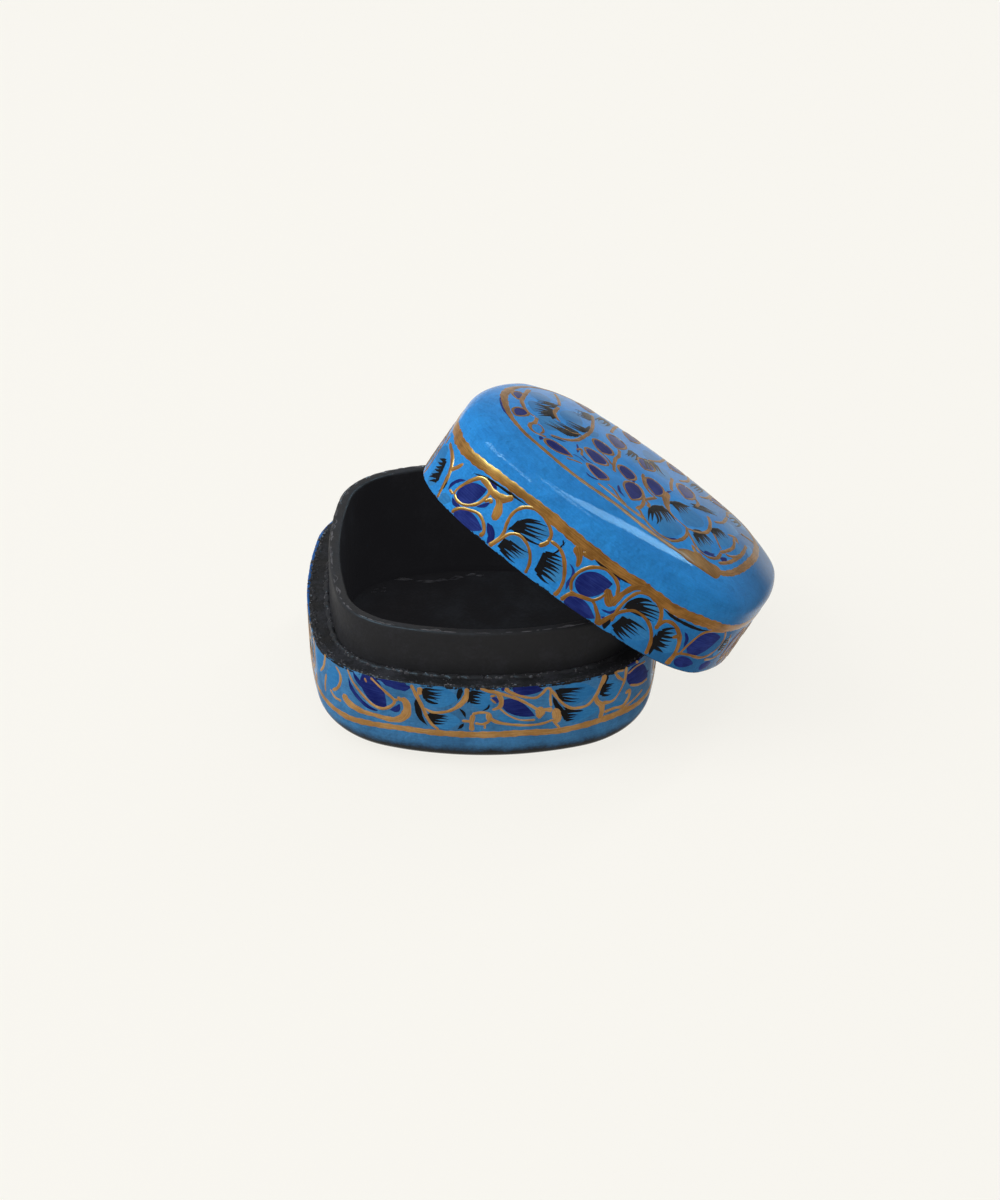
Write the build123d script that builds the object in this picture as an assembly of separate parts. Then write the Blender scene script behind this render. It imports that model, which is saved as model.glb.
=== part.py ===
from build123d import *
import math
import os

# Kashmiri papier mache box with its lid lifted off and leaning on the base.
# Millimetres, +Z up. The origin is the centre of the base's flat underside, X runs across the
# box and Y along it, with the open front towards -Y.

# ---- Outline of the box, seen from above: eight tangent arcs with no straight stretch ----
HALF_WIDTH = 32.0
HALF_LENGTH = 37.5
SIDE_BOW_RADIUS = 110.0
END_BOW_RADIUS = 50.0
CORNER_RADIUS = 19.5
FLAT_CORNER_RADIUS = 2.0

# ---- Base, pasted over a mould: floor, wall and the ledge on which the lid sits ----
LEDGE_HEIGHT = 16.6
FLOOR_THICKNESS = 3.0
FOOT_DRAFT = 0.8
FOOT_RADIUS = 6.0
LEDGE_WIDTH = 4.0
LEDGE_EDGE_EASE = 0.5

# ---- Collar: a stiff paper band glued inside the wall, which the lid slips over ----
COLLAR_STAND = 8.5
COLLAR_THICKNESS = 2.4
COLLAR_EDGE_EASE = 0.7

# ---- Lid: straight skirt, rounded shoulder and a pillow-shaped top ----
LID_HEIGHT = 19.1
LID_CLEARANCE = 0.4
SHOULDER_RADIUS = 3.0
TOP_BOW_RADIUS = 39.0
ROOF_THICKNESS = 3.2
RIM_EDGE_EASE = 0.5

# ---- How the loose lid leans: on the table at its right-hand rim and on the collar behind ----
LID_TURN = -21.3
LID_PITCH = -9.3
LID_LEAN = 34.6
LID_CENTRE_INSET = 14.7
LEAN_NEAREST = -6.0
LEAN_FARTHEST = 10.0
LEAN_GAP = 0.3
LEAN_TOLERANCE = 0.02

# ---- Derived sizes: the middle of the floor and of the top is flat inside FLAT_INSET ----
FLAT_INSET = CORNER_RADIUS - FLAT_CORNER_RADIUS
COLLAR_TOP = LEDGE_HEIGHT + COLLAR_STAND
COLLAR_INSET = LEDGE_WIDTH + COLLAR_THICKNESS
LID_WALL = LEDGE_WIDTH - LID_CLEARANCE
ROOF_UNDERSIDE = LID_HEIGHT - ROOF_THICKNESS
LID_OVERHANG = HALF_WIDTH - LID_CENTRE_INSET


def corner_centre():
    """Centre of the corner arc at +X +Y, tangent inside both bow arcs."""
    side_x = HALF_WIDTH - SIDE_BOW_RADIUS
    end_y = HALF_LENGTH - END_BOW_RADIUS
    to_side = SIDE_BOW_RADIUS - CORNER_RADIUS
    to_end = END_BOW_RADIUS - CORNER_RADIUS
    span = math.hypot(side_x, end_y)
    along = (to_side**2 - to_end**2 + span**2) / (2 * span)
    aside = math.sqrt(to_side**2 - along**2)
    ux, uy = -side_x / span, end_y / span
    return side_x + along * ux - aside * uy, along * uy + aside * ux


def outline(inset):
    """The closed outline, moved inwards by inset all round."""
    cx, cy = corner_centre()
    side_x = HALF_WIDTH - SIDE_BOW_RADIUS
    end_y = HALF_LENGTH - END_BOW_RADIUS
    side = math.degrees(math.atan2(cy, cx - side_x))
    end = math.degrees(math.atan2(cy - end_y, cx))
    arcs = [
        (side_x, 0, SIDE_BOW_RADIUS, -side, side),
        (cx, cy, CORNER_RADIUS, side, end),
        (0, end_y, END_BOW_RADIUS, end, 180 - end),
        (-cx, cy, CORNER_RADIUS, 180 - end, 180 - side),
        (-side_x, 0, SIDE_BOW_RADIUS, 180 - side, 180 + side),
        (-cx, -cy, CORNER_RADIUS, 180 + side, 180 + end),
        (0, -end_y, END_BOW_RADIUS, 180 + end, 360 - end),
        (cx, -cy, CORNER_RADIUS, 360 - end, 360 - side),
    ]
    edges = [CenterArc((x, y), radius - inset, start, stop - start) for x, y, radius, start, stop in arcs]
    return Wire(edges)


def corner_at(face, x, z):
    """The corner of a wall section that lies at (x, z)."""
    return face.vertices().sort_by_distance((x, z, 0))[0]


def swept(section):
    """Carry a wall section round the outline. Its x is 0 at the outline and negative inside."""
    plane = Plane(origin=(HALF_WIDTH, 0, 0), x_dir=(1, 0, 0), z_dir=(0, -1, 0))
    return sweep(plane * section, path=outline(0))


def plate(inset, bottom, top):
    """A flat plate that fills the outline inside the given inset."""
    face = make_face(outline(inset).edges())
    return Pos(0, 0, bottom) * extrude(face, top - bottom)


def base_shell():
    """Wall with a slight draft and a rounded foot, joined to the floor."""
    section = make_face(
        Polyline(
            (-FLAT_INSET, 0),
            (-FOOT_DRAFT, 0),
            (0, LEDGE_HEIGHT),
            (-LEDGE_WIDTH, LEDGE_HEIGHT),
            (-LEDGE_WIDTH, FLOOR_THICKNESS),
            (-FLAT_INSET, FLOOR_THICKNESS),
            close=True,
        )
    )
    section = fillet(corner_at(section, -FOOT_DRAFT, 0), FOOT_RADIUS)
    section = chamfer(corner_at(section, 0, LEDGE_HEIGHT), LEDGE_EDGE_EASE)
    return swept(section) + plate(FLAT_INSET, 0, FLOOR_THICKNESS)


def inner_collar():
    """Band that stands on the floor, backed by the wall, with its top edges eased."""
    section = make_face(
        Polyline(
            (-LEDGE_WIDTH, FLOOR_THICKNESS),
            (-LEDGE_WIDTH, COLLAR_TOP),
            (-COLLAR_INSET, COLLAR_TOP),
            (-COLLAR_INSET, FLOOR_THICKNESS),
            close=True,
        )
    )
    section = chamfer(corner_at(section, -LEDGE_WIDTH, COLLAR_TOP), COLLAR_EDGE_EASE)
    section = chamfer(corner_at(section, -COLLAR_INSET, COLLAR_TOP), COLLAR_EDGE_EASE)
    return swept(section)


def lid_shell():
    """Lid in its own frame, with its rim on z = 0: skirt, shoulder, bowed top and hollow."""
    bow_z = LID_HEIGHT - TOP_BOW_RADIUS
    reach = FLAT_INSET - SHOULDER_RADIUS
    rise = math.sqrt((TOP_BOW_RADIUS - SHOULDER_RADIUS) ** 2 - reach**2)
    shoulder_z = bow_z + rise
    meet = math.degrees(math.atan2(rise, reach))
    inner_radius = TOP_BOW_RADIUS - ROOF_THICKNESS
    inner_reach = FLAT_INSET - LID_WALL
    inner_top = bow_z + math.sqrt(inner_radius**2 - inner_reach**2)
    section = make_face(
        [
            Line((-LID_WALL, 0), (0, 0)),
            Line((0, 0), (0, shoulder_z)),
            CenterArc((-SHOULDER_RADIUS, shoulder_z), SHOULDER_RADIUS, 0, meet),
            CenterArc((-FLAT_INSET, bow_z), TOP_BOW_RADIUS, meet, 90 - meet),
            Line((-FLAT_INSET, LID_HEIGHT), (-FLAT_INSET, ROOF_UNDERSIDE)),
            Line((-FLAT_INSET, ROOF_UNDERSIDE), (-LID_WALL, inner_top)),
            Line((-LID_WALL, inner_top), (-LID_WALL, 0)),
        ]
    )
    section = chamfer(corner_at(section, 0, 0), RIM_EDGE_EASE)
    section = chamfer(corner_at(section, -LID_WALL, 0), RIM_EDGE_EASE)
    return swept(section) + plate(FLAT_INSET, ROOF_UNDERSIDE, LID_HEIGHT)


def touches(piece, others):
    """Whether a piece comes within the leaning gap of any of the others."""
    return any(piece.distance_to(other) < LEAN_GAP for other in others)


def leaning(lid, *others):
    """Tilt the lid, stand its lowest edge on the table and slide it forward until it leans."""
    tilt = Rot(0, LID_LEAN, 0) * Rot(LID_PITCH, 0, 0) * Rot(0, 0, LID_TURN)
    tilted = Pos(LID_OVERHANG, 0, 0) * tilt * lid
    tilted = Pos(0, 0, -tilted.bounding_box().min.Z) * tilted
    blocked, clear = LEAN_NEAREST, LEAN_FARTHEST
    while clear - blocked > LEAN_TOLERANCE:
        middle = (blocked + clear) / 2
        if touches(Pos(0, middle, 0) * tilted, others):
            blocked = middle
        else:
            clear = middle
    return Pos(0, clear, 0) * tilted


def main():
    base = base_shell()
    collar = inner_collar()
    lid = leaning(lid_shell(), base, collar)
    os.makedirs("parts", exist_ok=True)
    export_step(base, "parts/base_shell.step")
    export_step(collar, "parts/inner_collar.step")
    export_step(lid, "parts/lid_shell.step")


main()
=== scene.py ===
import math

import bpy
import numpy as np
from bpy.props import FloatProperty, FloatVectorProperty, IntProperty, PointerProperty
from mathutils import Matrix, Vector


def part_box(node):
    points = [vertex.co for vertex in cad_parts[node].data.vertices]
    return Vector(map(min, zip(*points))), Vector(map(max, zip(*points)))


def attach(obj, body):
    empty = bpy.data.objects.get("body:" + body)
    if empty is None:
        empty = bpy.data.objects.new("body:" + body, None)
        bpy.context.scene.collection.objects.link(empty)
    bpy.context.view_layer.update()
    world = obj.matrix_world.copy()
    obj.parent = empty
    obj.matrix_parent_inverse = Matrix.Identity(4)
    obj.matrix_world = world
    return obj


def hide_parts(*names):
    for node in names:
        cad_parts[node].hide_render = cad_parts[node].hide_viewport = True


bl_info = {
    "name": "Kashmiri papier mache box",
    "version": (1, 0, 0),
    "blender": (4, 5, 0),
    "location": "3D View > Sidebar > Papier mache",
    "description": "Lacquered paper box whose loose lid leans on it, painted with petals and gold scrolls",
    "category": "Object",
}

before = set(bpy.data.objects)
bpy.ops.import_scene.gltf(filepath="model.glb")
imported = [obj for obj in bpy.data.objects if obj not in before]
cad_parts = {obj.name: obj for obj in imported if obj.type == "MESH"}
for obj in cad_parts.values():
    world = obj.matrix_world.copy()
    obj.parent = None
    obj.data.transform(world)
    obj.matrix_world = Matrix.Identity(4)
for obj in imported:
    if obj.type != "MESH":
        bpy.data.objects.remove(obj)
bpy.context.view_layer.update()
MM = 0.001

# ---- Brushwork, in millimetres: how high each layer of paint stands on the ground coat ----
EDGE_SINK = -0.012
FEATHER_RISE = 0.013
PETAL_RISE = 0.024
COMB_RISE = 0.046
GOLD_RISE = 0.09

# Strokes: each section is a row of points, as shares of the half width and of the rise.
OUTLINE_WIDTH = 0.7
TOP_OUTLINE_WIDTH = 0.56
STROKE_STEP = 0.28  # distance between the points along a stroke
STROKE_LEAST = 6  # steps of the shortest stroke
CURVE_SAMPLES = 16  # points of a curve between two given points
STROKE_RIPPLES = (4.6, 1.9)  # lengths of the waves in a stroke's width
STROKE_UNEVEN = 0.07
STROKE_SECTION = ((-1.0, 0.0), (-0.72, 0.62), (-0.3, 0.96), (0.3, 0.96), (0.72, 0.62), (1.0, 0.0))
FINGER_SECTION = ((-1.0, 0.0), (-0.5, 0.9), (0.5, 0.9), (1.0, 0.0))
FINGER_TAPER = 0.66  # share of a comb's finger that narrows
FINGER_SWAY = 0.06
FINGER_WIDTH = (1.1, 1.5)  # as shares of the gap between fingers
COMB_GATHER = 0.72  # how far the roots of a comb close up
COMB_REACH = (0.98, 1.28)  # lengths of the fingers, as shares of the way to the tip line
COMB_ROOT = (0.2, 0.42)  # shares of the fingers that the solid root covers
NAVY_TAPER = (0.25, 0.25)  # shares of a stroke over which its two ends grow thin
INK_TAPER = (0.2, 0.3)
OVERLAP = 0.9  # how far a line round the box runs over its own start

# Petals and patches: each ring is a share of the way from the middle to the edge, and a share of the rise.
PATCH_RINGS = ((1, 0), (0.93, 0.7), (0.8, 1), (0.65, 1), (0.5, 1), (0.35, 1), (0.2, 1), (0.08, 1))
PETAL_POINTS = 48
PETAL_TIPS = (0.8, 0.1)  # how pointed the two ends are
PETAL_BEND = 0.06
PETAL_UNEVEN = ((2, 0.03), (3, 0.025))  # waves round the edge, and how deep they are
RING_GROW = 0.12  # how far a gold outline lies outside its petal
RING_SKIP = 3  # the outline takes every third point of the petal

# Shells: how the hand-laid paper is uneven, as lengths of its waves in millimetres.
WAVE_LENGTHS = (31.0, 22.0, 15.0, 11.0, 8.0)
LUMP_LENGTHS = (3.9, 2.9, 2.3, 1.9, 1.6, 1.3, 1.1, 0.9)
OUTLINE_POINTS = 1440  # points round the lid and down its shoulder that find its box
SHOULDER_POINTS = 60
SHOULDER_REACH = 10  # how far in from the outline they go
RIM_LUMPS = 0.5  # share of the lumps on the collar's top edge
DISC_STEP = 0.08  # distance between the rings that fill floor and top, as a share of their radius


def millimetres(name, value, description):
    """A length property that is written in millimetres and kept in Blender's metres."""
    return FloatProperty(name=name, description=description, default=value * MM, unit="LENGTH", precision=5)


def degrees(name, value, description):
    """An angle property that is written in degrees."""
    return FloatProperty(name=name, description=description, default=math.radians(value), subtype="ANGLE")


def plain(name, value, description):
    """A property without a unit."""
    return FloatProperty(name=name, description=description, default=value)


def colour(name, value, description):
    """A linear colour property."""
    return FloatVectorProperty(
        name=name, description=description, default=value, size=3, subtype="COLOR", min=0, max=1
    )


class PAPER_PG_sizes(bpy.types.PropertyGroup):
    """Sizes of the moulded shells."""

    half_width: millimetres("Half width", 32.0, "From the middle of the box to its long side")
    half_length: millimetres("Half length", 37.5, "From the middle of the box to its short end")
    side_bow: millimetres("Side bow", 110.0, "Radius of the long sides, seen from above")
    end_bow: millimetres("End bow", 50.0, "Radius of the short ends, seen from above")
    corner: millimetres("Corner", 19.5, "Radius of the four corners, seen from above")
    flat_corner: millimetres("Flat corner", 2.0, "Corner radius of the flat middle of floor and top")
    ledge_height: millimetres("Ledge height", 16.6, "Height of the ledge on which the lid sits")
    ledge_width: millimetres("Ledge width", 4.0, "Width of the ledge outside the collar")
    floor_thickness: millimetres("Floor", 3.0, "Thickness of the floor")
    foot_draft: millimetres("Foot draft", 0.8, "How far the wall leans in at its foot")
    foot_radius: millimetres("Foot radius", 6.0, "Radius of the rounded foot")
    collar_top: millimetres("Collar top", 25.1, "Height of the collar's edge")
    collar_thickness: millimetres("Collar", 2.4, "Thickness of the collar")
    lid_height: millimetres("Lid height", 19.1, "Height of the lid over its rim")
    lid_wall: millimetres("Lid wall", 3.6, "Thickness of the lid's skirt")
    shoulder: millimetres("Shoulder", 3.0, "Radius between skirt and top")
    top_bow: millimetres("Top bow", 39.0, "Radius of the pillow-shaped top")
    roof_thickness: millimetres("Roof", 3.2, "Thickness of the top in its middle")
    edge: millimetres("Edge", 0.5, "Rounding of the ledge and the rims")
    collar_edge: millimetres("Collar edge", 0.7, "Rounding of the collar's edges")
    ground_depth: millimetres("Ground depth", 0.12, "How far the ground coat lies below the raised paint")
    waviness: millimetres("Waviness", 0.07, "Unevenness of the hand-laid paper")
    lumps: millimetres("Lumps", 0.16, "Height of the fibre lumps on the bare ledge")
    step: millimetres("Mesh step", 0.5, "Distance between mesh points round the outline")


class PAPER_PG_place(bpy.types.PropertyGroup):
    """How the loose lid lies: its three turns, in the order in which they are made."""

    turn: degrees("Turn", -21.3, "Turn about the lid's own axis")
    pitch: degrees("Pitch", -9.3, "Tip towards the back")
    lean: degrees("Lean", 34.6, "Lean down to the right")


class PAPER_PG_paints(bpy.types.PropertyGroup):
    """Colours of the paints and lacquers, among them painted shade, a painted glow and painted glints."""

    sky: colour("Sky blue", (0.028, 0.262, 0.690), "Ground coat of the lid")
    sky_deep: colour("Deep sky blue", (0.015, 0.140, 0.430), "Thin parts of the lid's ground coat")
    # Painted shade: the darker blue that the lid's ground coat takes near the table.
    sky_painted_shade: colour("Dull sky blue", (0.018, 0.080, 0.190), "Ground coat at the lid's low end")
    # Painted shade: the base's ground coat is the lid's sky blue made darker and greyer.
    aged: colour("Aged sky blue", (0.053, 0.212, 0.455), "Ground coat of the base")
    sky_shaded_base_deep: colour("Deep aged sky blue", (0.025, 0.105, 0.240), "Thin parts of the base's ground coat")
    feather: colour("Feather blue", (0.024, 0.165, 0.420), "Feathered petals")
    feather_pale: colour("Pale feather blue", (0.050, 0.245, 0.520), "Tips of the feathered petals")
    navy: colour("Navy", (0.005, 0.010, 0.105), "Solid petals")
    navy_light: colour("Light navy", (0.022, 0.040, 0.215), "Where the navy is thin")
    gold: colour("Gold", (0.172, 0.076, 0.017), "Bronze powder paint of the lid")
    gold_bright: colour("Bright gold", (0.325, 0.153, 0.038), "Where the lid's powder lies thick")
    old_gold: colour("Aged gold", (0.330, 0.170, 0.055), "Bronze powder paint of the base")
    old_gold_bright: colour("Bright aged gold", (0.480, 0.280, 0.110), "Where the base's powder lies thick")
    dull_gold: colour("Dull gold", (0.165, 0.080, 0.022), "Bronze powder paint of the lid's top")
    dull_gold_bright: colour("Bright dull gold", (0.300, 0.150, 0.045), "Where the top's powder lies thick")
    ink: colour("Ink", (0.0075, 0.0078, 0.0095), "Black comb strokes")
    black: colour("Black lacquer", (0.0118, 0.0114, 0.0120), "Ledge and edges")
    black_rubbed: colour("Rubbed black", (0.0215, 0.0215, 0.0235), "Collar")
    # Painted shade: the inside takes a darker black than the ledge, and the painted glow lifts it evenly.
    black_hollow: colour("Black hollow", (0.0062, 0.0056, 0.0056), "Inside of the base and of the lid")
    # Painted light: an emission that makes the black lacquers glow, most of all inside.
    black_painted_glow: colour("Black glow", (0.0065, 0.0065, 0.0075), "Stray light in the black lacquer")
    black_worn: colour("Worn black", (0.035, 0.035, 0.042), "Rubbed parts of the black lacquer")
    # Also the colour of painted glints: the dashes on the collar's rim, glue seam and ledge, the rubbed edges
    # and the rubs on the inside floor.
    glue: colour("Dried glue", (0.125, 0.125, 0.138), "Flecks of glue and worn edges")


class PAPER_PG_studio(bpy.types.PropertyGroup):
    """Camera, lamps and backdrop."""

    azimuth: degrees("Azimuth", -0.83, "Camera turn, 0 looks along +Y")
    elevation: degrees("Elevation", 28.44, "Camera height angle")
    roll: degrees("Roll", 0.29, "Camera roll")
    distance: millimetres("Distance", 896.7, "Camera to the point it looks at")
    aim_right: millimetres("Aim right", 2.98, "Point looked at, to the right of the origin")
    aim_up: millimetres("Aim up", 13.66, "Point looked at, over the table")
    lens: plain("Lens", 148.8, "Focal length in millimetres for a 36 mm sensor")
    backdrop: colour("Backdrop", (0.939, 0.922, 0.871), "Floor and world")
    world_light: plain("World light", 0.42, "Light from all round")
    overhead: plain("Overhead", 4.6, "Watts of the large lamp overhead")
    window: plain("Window", 3.6, "Watts of the tall lamp behind on the right")
    side: plain("Side", 7.0, "Watts of the long lamp on the left")
    cards: plain("Cards", 48.0, "Brightness of the cards that the varnish mirrors")
    card_tint: colour("Card tint", (0.43, 0.77, 1.0), "Daylight on the cards")
    shade: plain("Shadow share", 0.11, "How much of the floor's own shading shows")
    floor_size: millimetres("Floor size", 4000.0, "Side of the square floor")


class PAPER_PG_settings(bpy.types.PropertyGroup):
    """Everything a user may change."""

    sizes: PointerProperty(type=PAPER_PG_sizes)
    place: PointerProperty(type=PAPER_PG_place)
    paints: PointerProperty(type=PAPER_PG_paints)
    studio: PointerProperty(type=PAPER_PG_studio)
    seed: IntProperty(name="Seed", description="Seed of every hand-made unevenness", default=11)


def settings():
    """The settings of the current scene."""
    return bpy.context.scene.papier_mache_box


# ---- Surfaces of the box ----


class Outline:
    """Eight tangent arcs round the box. Along is measured to the right from the middle of the near end."""

    def __init__(self, sizes):
        side_x = sizes.half_width - sizes.side_bow
        end_y = sizes.half_length - sizes.end_bow
        to_side = sizes.side_bow - sizes.corner
        to_end = sizes.end_bow - sizes.corner
        span = math.hypot(side_x, end_y)
        forward = (to_side**2 - to_end**2 + span**2) / (2 * span)
        aside = math.sqrt(to_side**2 - forward**2)
        ux, uy = -side_x / span, end_y / span
        cx = side_x + forward * ux - aside * uy
        cy = forward * uy + aside * ux
        side = math.atan2(cy, cx - side_x)
        end = math.atan2(cy - end_y, cx)
        turn = end - side
        arcs = (
            (0, -end_y, sizes.end_bow, end - math.pi, math.pi - 2 * end),
            (cx, -cy, sizes.corner, -end, turn),
            (side_x, 0, sizes.side_bow, -side, 2 * side),
            (cx, cy, sizes.corner, side, turn),
            (0, end_y, sizes.end_bow, end, math.pi - 2 * end),
            (-cx, cy, sizes.corner, math.pi - end, turn),
            (-side_x, 0, sizes.side_bow, math.pi - side, 2 * side),
            (-cx, -cy, sizes.corner, math.pi + side, turn),
        )
        self.centres = np.array([part[:2] for part in arcs])
        self.radii = np.array([part[2] for part in arcs])
        self.starts = np.array([part[3] for part in arcs])
        lengths = self.radii * np.array([part[4] for part in arcs])
        self.offsets = np.concatenate(([0.0], np.cumsum(lengths)))
        self.length = self.offsets[-1]
        self.lead = lengths[0] / 2
        self.side, self.end = side, end
        self.side_x, self.end_y, self.cx, self.cy = side_x, end_y, cx, cy
        self.side_bow, self.end_bow, self.corner = sizes.side_bow, sizes.end_bow, sizes.corner

    def at(self, along):
        """Points on the outline and the directions that point out of it."""
        run = np.mod(np.asarray(along, float) + self.lead, self.length)
        index = np.clip(np.searchsorted(self.offsets, run, side="right") - 1, 0, len(self.radii) - 1)
        radius = self.radii[index]
        angle = self.starts[index] + (run - self.offsets[index]) / radius
        out = np.stack([np.cos(angle), np.sin(angle)], -1)
        return self.centres[index] + out * radius[..., None], out

    def inset(self, x, y):
        """How far points in plan lie inside the outline, and the directions out of it."""
        x, y = np.asarray(x, float), np.asarray(y, float)
        ax, ay = np.abs(x), np.abs(y)
        centres = ((self.side_x, 0.0), (0.0, self.end_y), (self.cx, self.cy))
        deltas = [np.stack([ax - cx, ay - cy], -1) for cx, cy in centres]
        spans = [np.maximum(np.linalg.norm(delta, axis=-1), 1e-9) for delta in deltas]
        insets = [radius - span for radius, span in zip((self.side_bow, self.end_bow, self.corner), spans)]
        on_side = np.arctan2(deltas[0][..., 1], deltas[0][..., 0]) <= self.side
        on_end = np.arctan2(deltas[1][..., 1], deltas[1][..., 0]) >= self.end
        side_first = on_side & (~on_end | (insets[0] <= insets[1]))
        pick = np.where(side_first, 0, np.where(on_end, 1, 2))
        depth = np.choose(pick, insets)
        out = np.choose(pick[..., None], [delta / span[..., None] for delta, span in zip(deltas, spans)])
        return depth, out * np.stack([np.where(x < 0, -1.0, 1.0), np.where(y < 0, -1.0, 1.0)], -1)


def unit(vectors):
    """Vectors of length 1."""
    return vectors / np.maximum(np.linalg.norm(vectors, axis=1), 1e-9)[:, None]


class Waves:
    """Smooth unevenness of hand-laid paper, the same for every layer of paint on it."""

    def __init__(self, seed, depth, lengths):
        chance = np.random.default_rng(seed)
        turns = unit(chance.normal(size=(len(lengths), 3)))
        self.vectors = turns * (2 * math.pi / (np.array(lengths) * MM))[:, None]
        self.phases = chance.uniform(0, 2 * math.pi, len(lengths))
        self.weights = np.array(lengths) / sum(lengths)
        self.depth = depth

    def at(self, points):
        """How far the surface lies below its nominal place: 0 to depth."""
        swing = np.sin(points @ self.vectors.T + self.phases) @ self.weights
        return self.depth * (0.5 + 0.5 * swing)


def base_side(sizes, height):
    """Inset and normal of the base's outer wall at a height over the table."""
    height = np.asarray(height, float)
    slope = sizes.foot_draft / sizes.ledge_height
    tilt = math.hypot(1.0, slope)
    radius = sizes.foot_radius
    centre = sizes.foot_draft - slope * radius + radius * tilt
    tangent = radius - radius * slope / tilt
    drop = np.clip((radius - height) / radius, -1, 1)
    rounded = centre - radius * np.sqrt(1 - drop**2)
    inset = np.where(height < tangent, rounded, sizes.foot_draft - slope * height)
    out = np.where(height < tangent, np.sqrt(1 - drop**2), 1 / tilt)
    up = np.where(height < tangent, -drop, -slope / tilt)
    return inset, out, up


def lid_levels(sizes):
    """Height of the shoulder's centre, height of the bow's centre and how far in the flat top starts."""
    reach = sizes.corner - sizes.flat_corner
    bow_z = sizes.lid_height - sizes.top_bow
    rise = math.sqrt((sizes.top_bow - sizes.shoulder) ** 2 - (reach - sizes.shoulder) ** 2)
    return bow_z + rise, bow_z, reach


def lid_side(sizes, height):
    """Inset and normal of the lid's skirt at a height over its rim, rounded in at the rim."""
    height = np.asarray(height, float)
    radius = sizes.edge
    drop = np.clip((radius - height) / radius, 0, 1)
    out = np.sqrt(1 - drop**2)
    return radius * (1 - out), out, -drop


def lid_top(sizes, inset):
    """Height and normal of the lid's shoulder and bowed top at an inset."""
    shoulder_z, bow_z, reach = lid_levels(sizes)
    radius, bow = sizes.shoulder, sizes.top_bow
    meet = math.atan2(shoulder_z - bow_z, reach - radius)
    turn_in = radius * (1 - math.cos(meet))
    inset = np.clip(np.asarray(inset, float), 0, reach)
    near = np.clip((radius - inset) / radius, 0, 1)
    far = (reach - inset) / bow
    on_shoulder = inset < turn_in
    out = np.where(on_shoulder, near, far)
    up = np.sqrt(1 - out**2)
    height = np.where(on_shoulder, shoulder_z + radius * up, bow_z + bow * up)
    return height, out, up


def lid_matrix(sizes, place, outline):
    """Places the lid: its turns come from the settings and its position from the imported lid's box."""
    lean, pitch = Matrix.Rotation(place.lean, 4, "Y"), Matrix.Rotation(place.pitch, 4, "X")
    turns = lean @ pitch @ Matrix.Rotation(place.turn, 4, "Z")
    spots, out = outline.at(np.linspace(0, outline.length, OUTLINE_POINTS, endpoint=False))
    shoulder_z, _, _ = lid_levels(sizes)
    levels = [(sizes.edge, 0.0), (0.0, sizes.edge), (0.0, shoulder_z)]
    for inset in np.linspace(0, SHOULDER_REACH * MM, SHOULDER_POINTS):
        levels.append((inset, float(lid_top(sizes, inset)[0])))
    rings = [np.column_stack([spots - out * inset, np.full(len(spots), z)]) for inset, z in levels]
    cloud = np.vstack(rings) @ np.array(turns.to_3x3()).T
    low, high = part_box("lid_shell")
    middle = np.array((low + high) / 2) - (cloud.min(0) + cloud.max(0)) / 2
    return Matrix.Translation(Vector(middle)) @ turns


class Box:
    """The surfaces of the box: outline, hand-made unevenness and the place of the lid."""

    def __init__(self):
        self.settings = settings()
        self.sizes = self.settings.sizes
        self.outline = Outline(self.sizes)
        self.waves = Waves(self.settings.seed, self.sizes.waviness, WAVE_LENGTHS)
        self.lumps = Waves(self.settings.seed + 1, self.sizes.lumps, LUMP_LENGTHS)
        self.lid = np.array(lid_matrix(self.sizes, self.settings.place, self.outline))

    def laid(self, points, normals, lift):
        """Moves points on the nominal surface to the ground coat, plus the lift of the paint over it."""
        depth = np.asarray(lift) - self.sizes.ground_depth - self.waves.at(points)
        return points + normals * depth[..., None]

    def lumps_at(self, points):
        """How far the fibre lumps lift the surface or let it down."""
        return self.lumps.at(points) - self.sizes.lumps / 2

    def tilted(self, points):
        """Carries points of the lid to where it leans."""
        return points @ self.lid[:3, :3].T + self.lid[:3, 3]

    def wall(self, side, along, height, lift):
        """Points on an outer wall, whose section is given by side."""
        spots, out = self.outline.at(along)
        inset, outward, up = side(self.sizes, height)
        points = np.column_stack([spots - out * inset[:, None], height])
        return self.laid(points, np.column_stack([out * outward[:, None], up]), lift)

    def base_wall(self, along, height, lift):
        """Outer wall of the base."""
        return self.wall(base_side, along, height, lift)

    def lid_wall(self, along, height, lift):
        """Skirt of the lid."""
        return self.tilted(self.wall(lid_side, along, height, lift))

    def lid_roof(self, x, y, lift):
        """Top of the lid, seen from above."""
        inset, out = self.outline.inset(x, y)
        height, outward, up = lid_top(self.sizes, inset)
        normals = np.column_stack([out * outward[:, None], up])
        return self.tilted(self.laid(np.column_stack([x, y, height]), normals, lift))

    def ring_of(self, along, inset, height, lift, lumpy=0.0):
        """Points round the box on a flat face at a height, which has a share of the lumps."""
        spots, out = self.outline.at(along)
        points = np.column_stack([spots - out * inset[:, None], np.full(len(along), height)])
        return self.laid(points, np.array([(0.0, 0.0, 1.0)]), lift + self.lumps_at(points) * lumpy)

    def ledge(self, along, inset, lift):
        """Flat ledge round the collar."""
        return self.ring_of(along, inset, self.sizes.ledge_height, lift)

    def collar_rim(self, along, inset, lift):
        """Top edge of the collar."""
        return self.ring_of(along, inset, self.sizes.collar_top, lift, RIM_LUMPS)

    def floor(self, x, y, lift):
        """Inside floor."""
        points = np.column_stack([x, y, np.full(len(x), self.sizes.floor_thickness)])
        return self.laid(points, np.array([(0.0, 0.0, 1.0)]), lift)


# ---- Meshes ----


def show(name, data):
    """Adds an object with this data to the scene."""
    thing = bpy.data.objects.new(name, data)
    bpy.context.scene.collection.objects.link(thing)
    return thing


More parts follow.
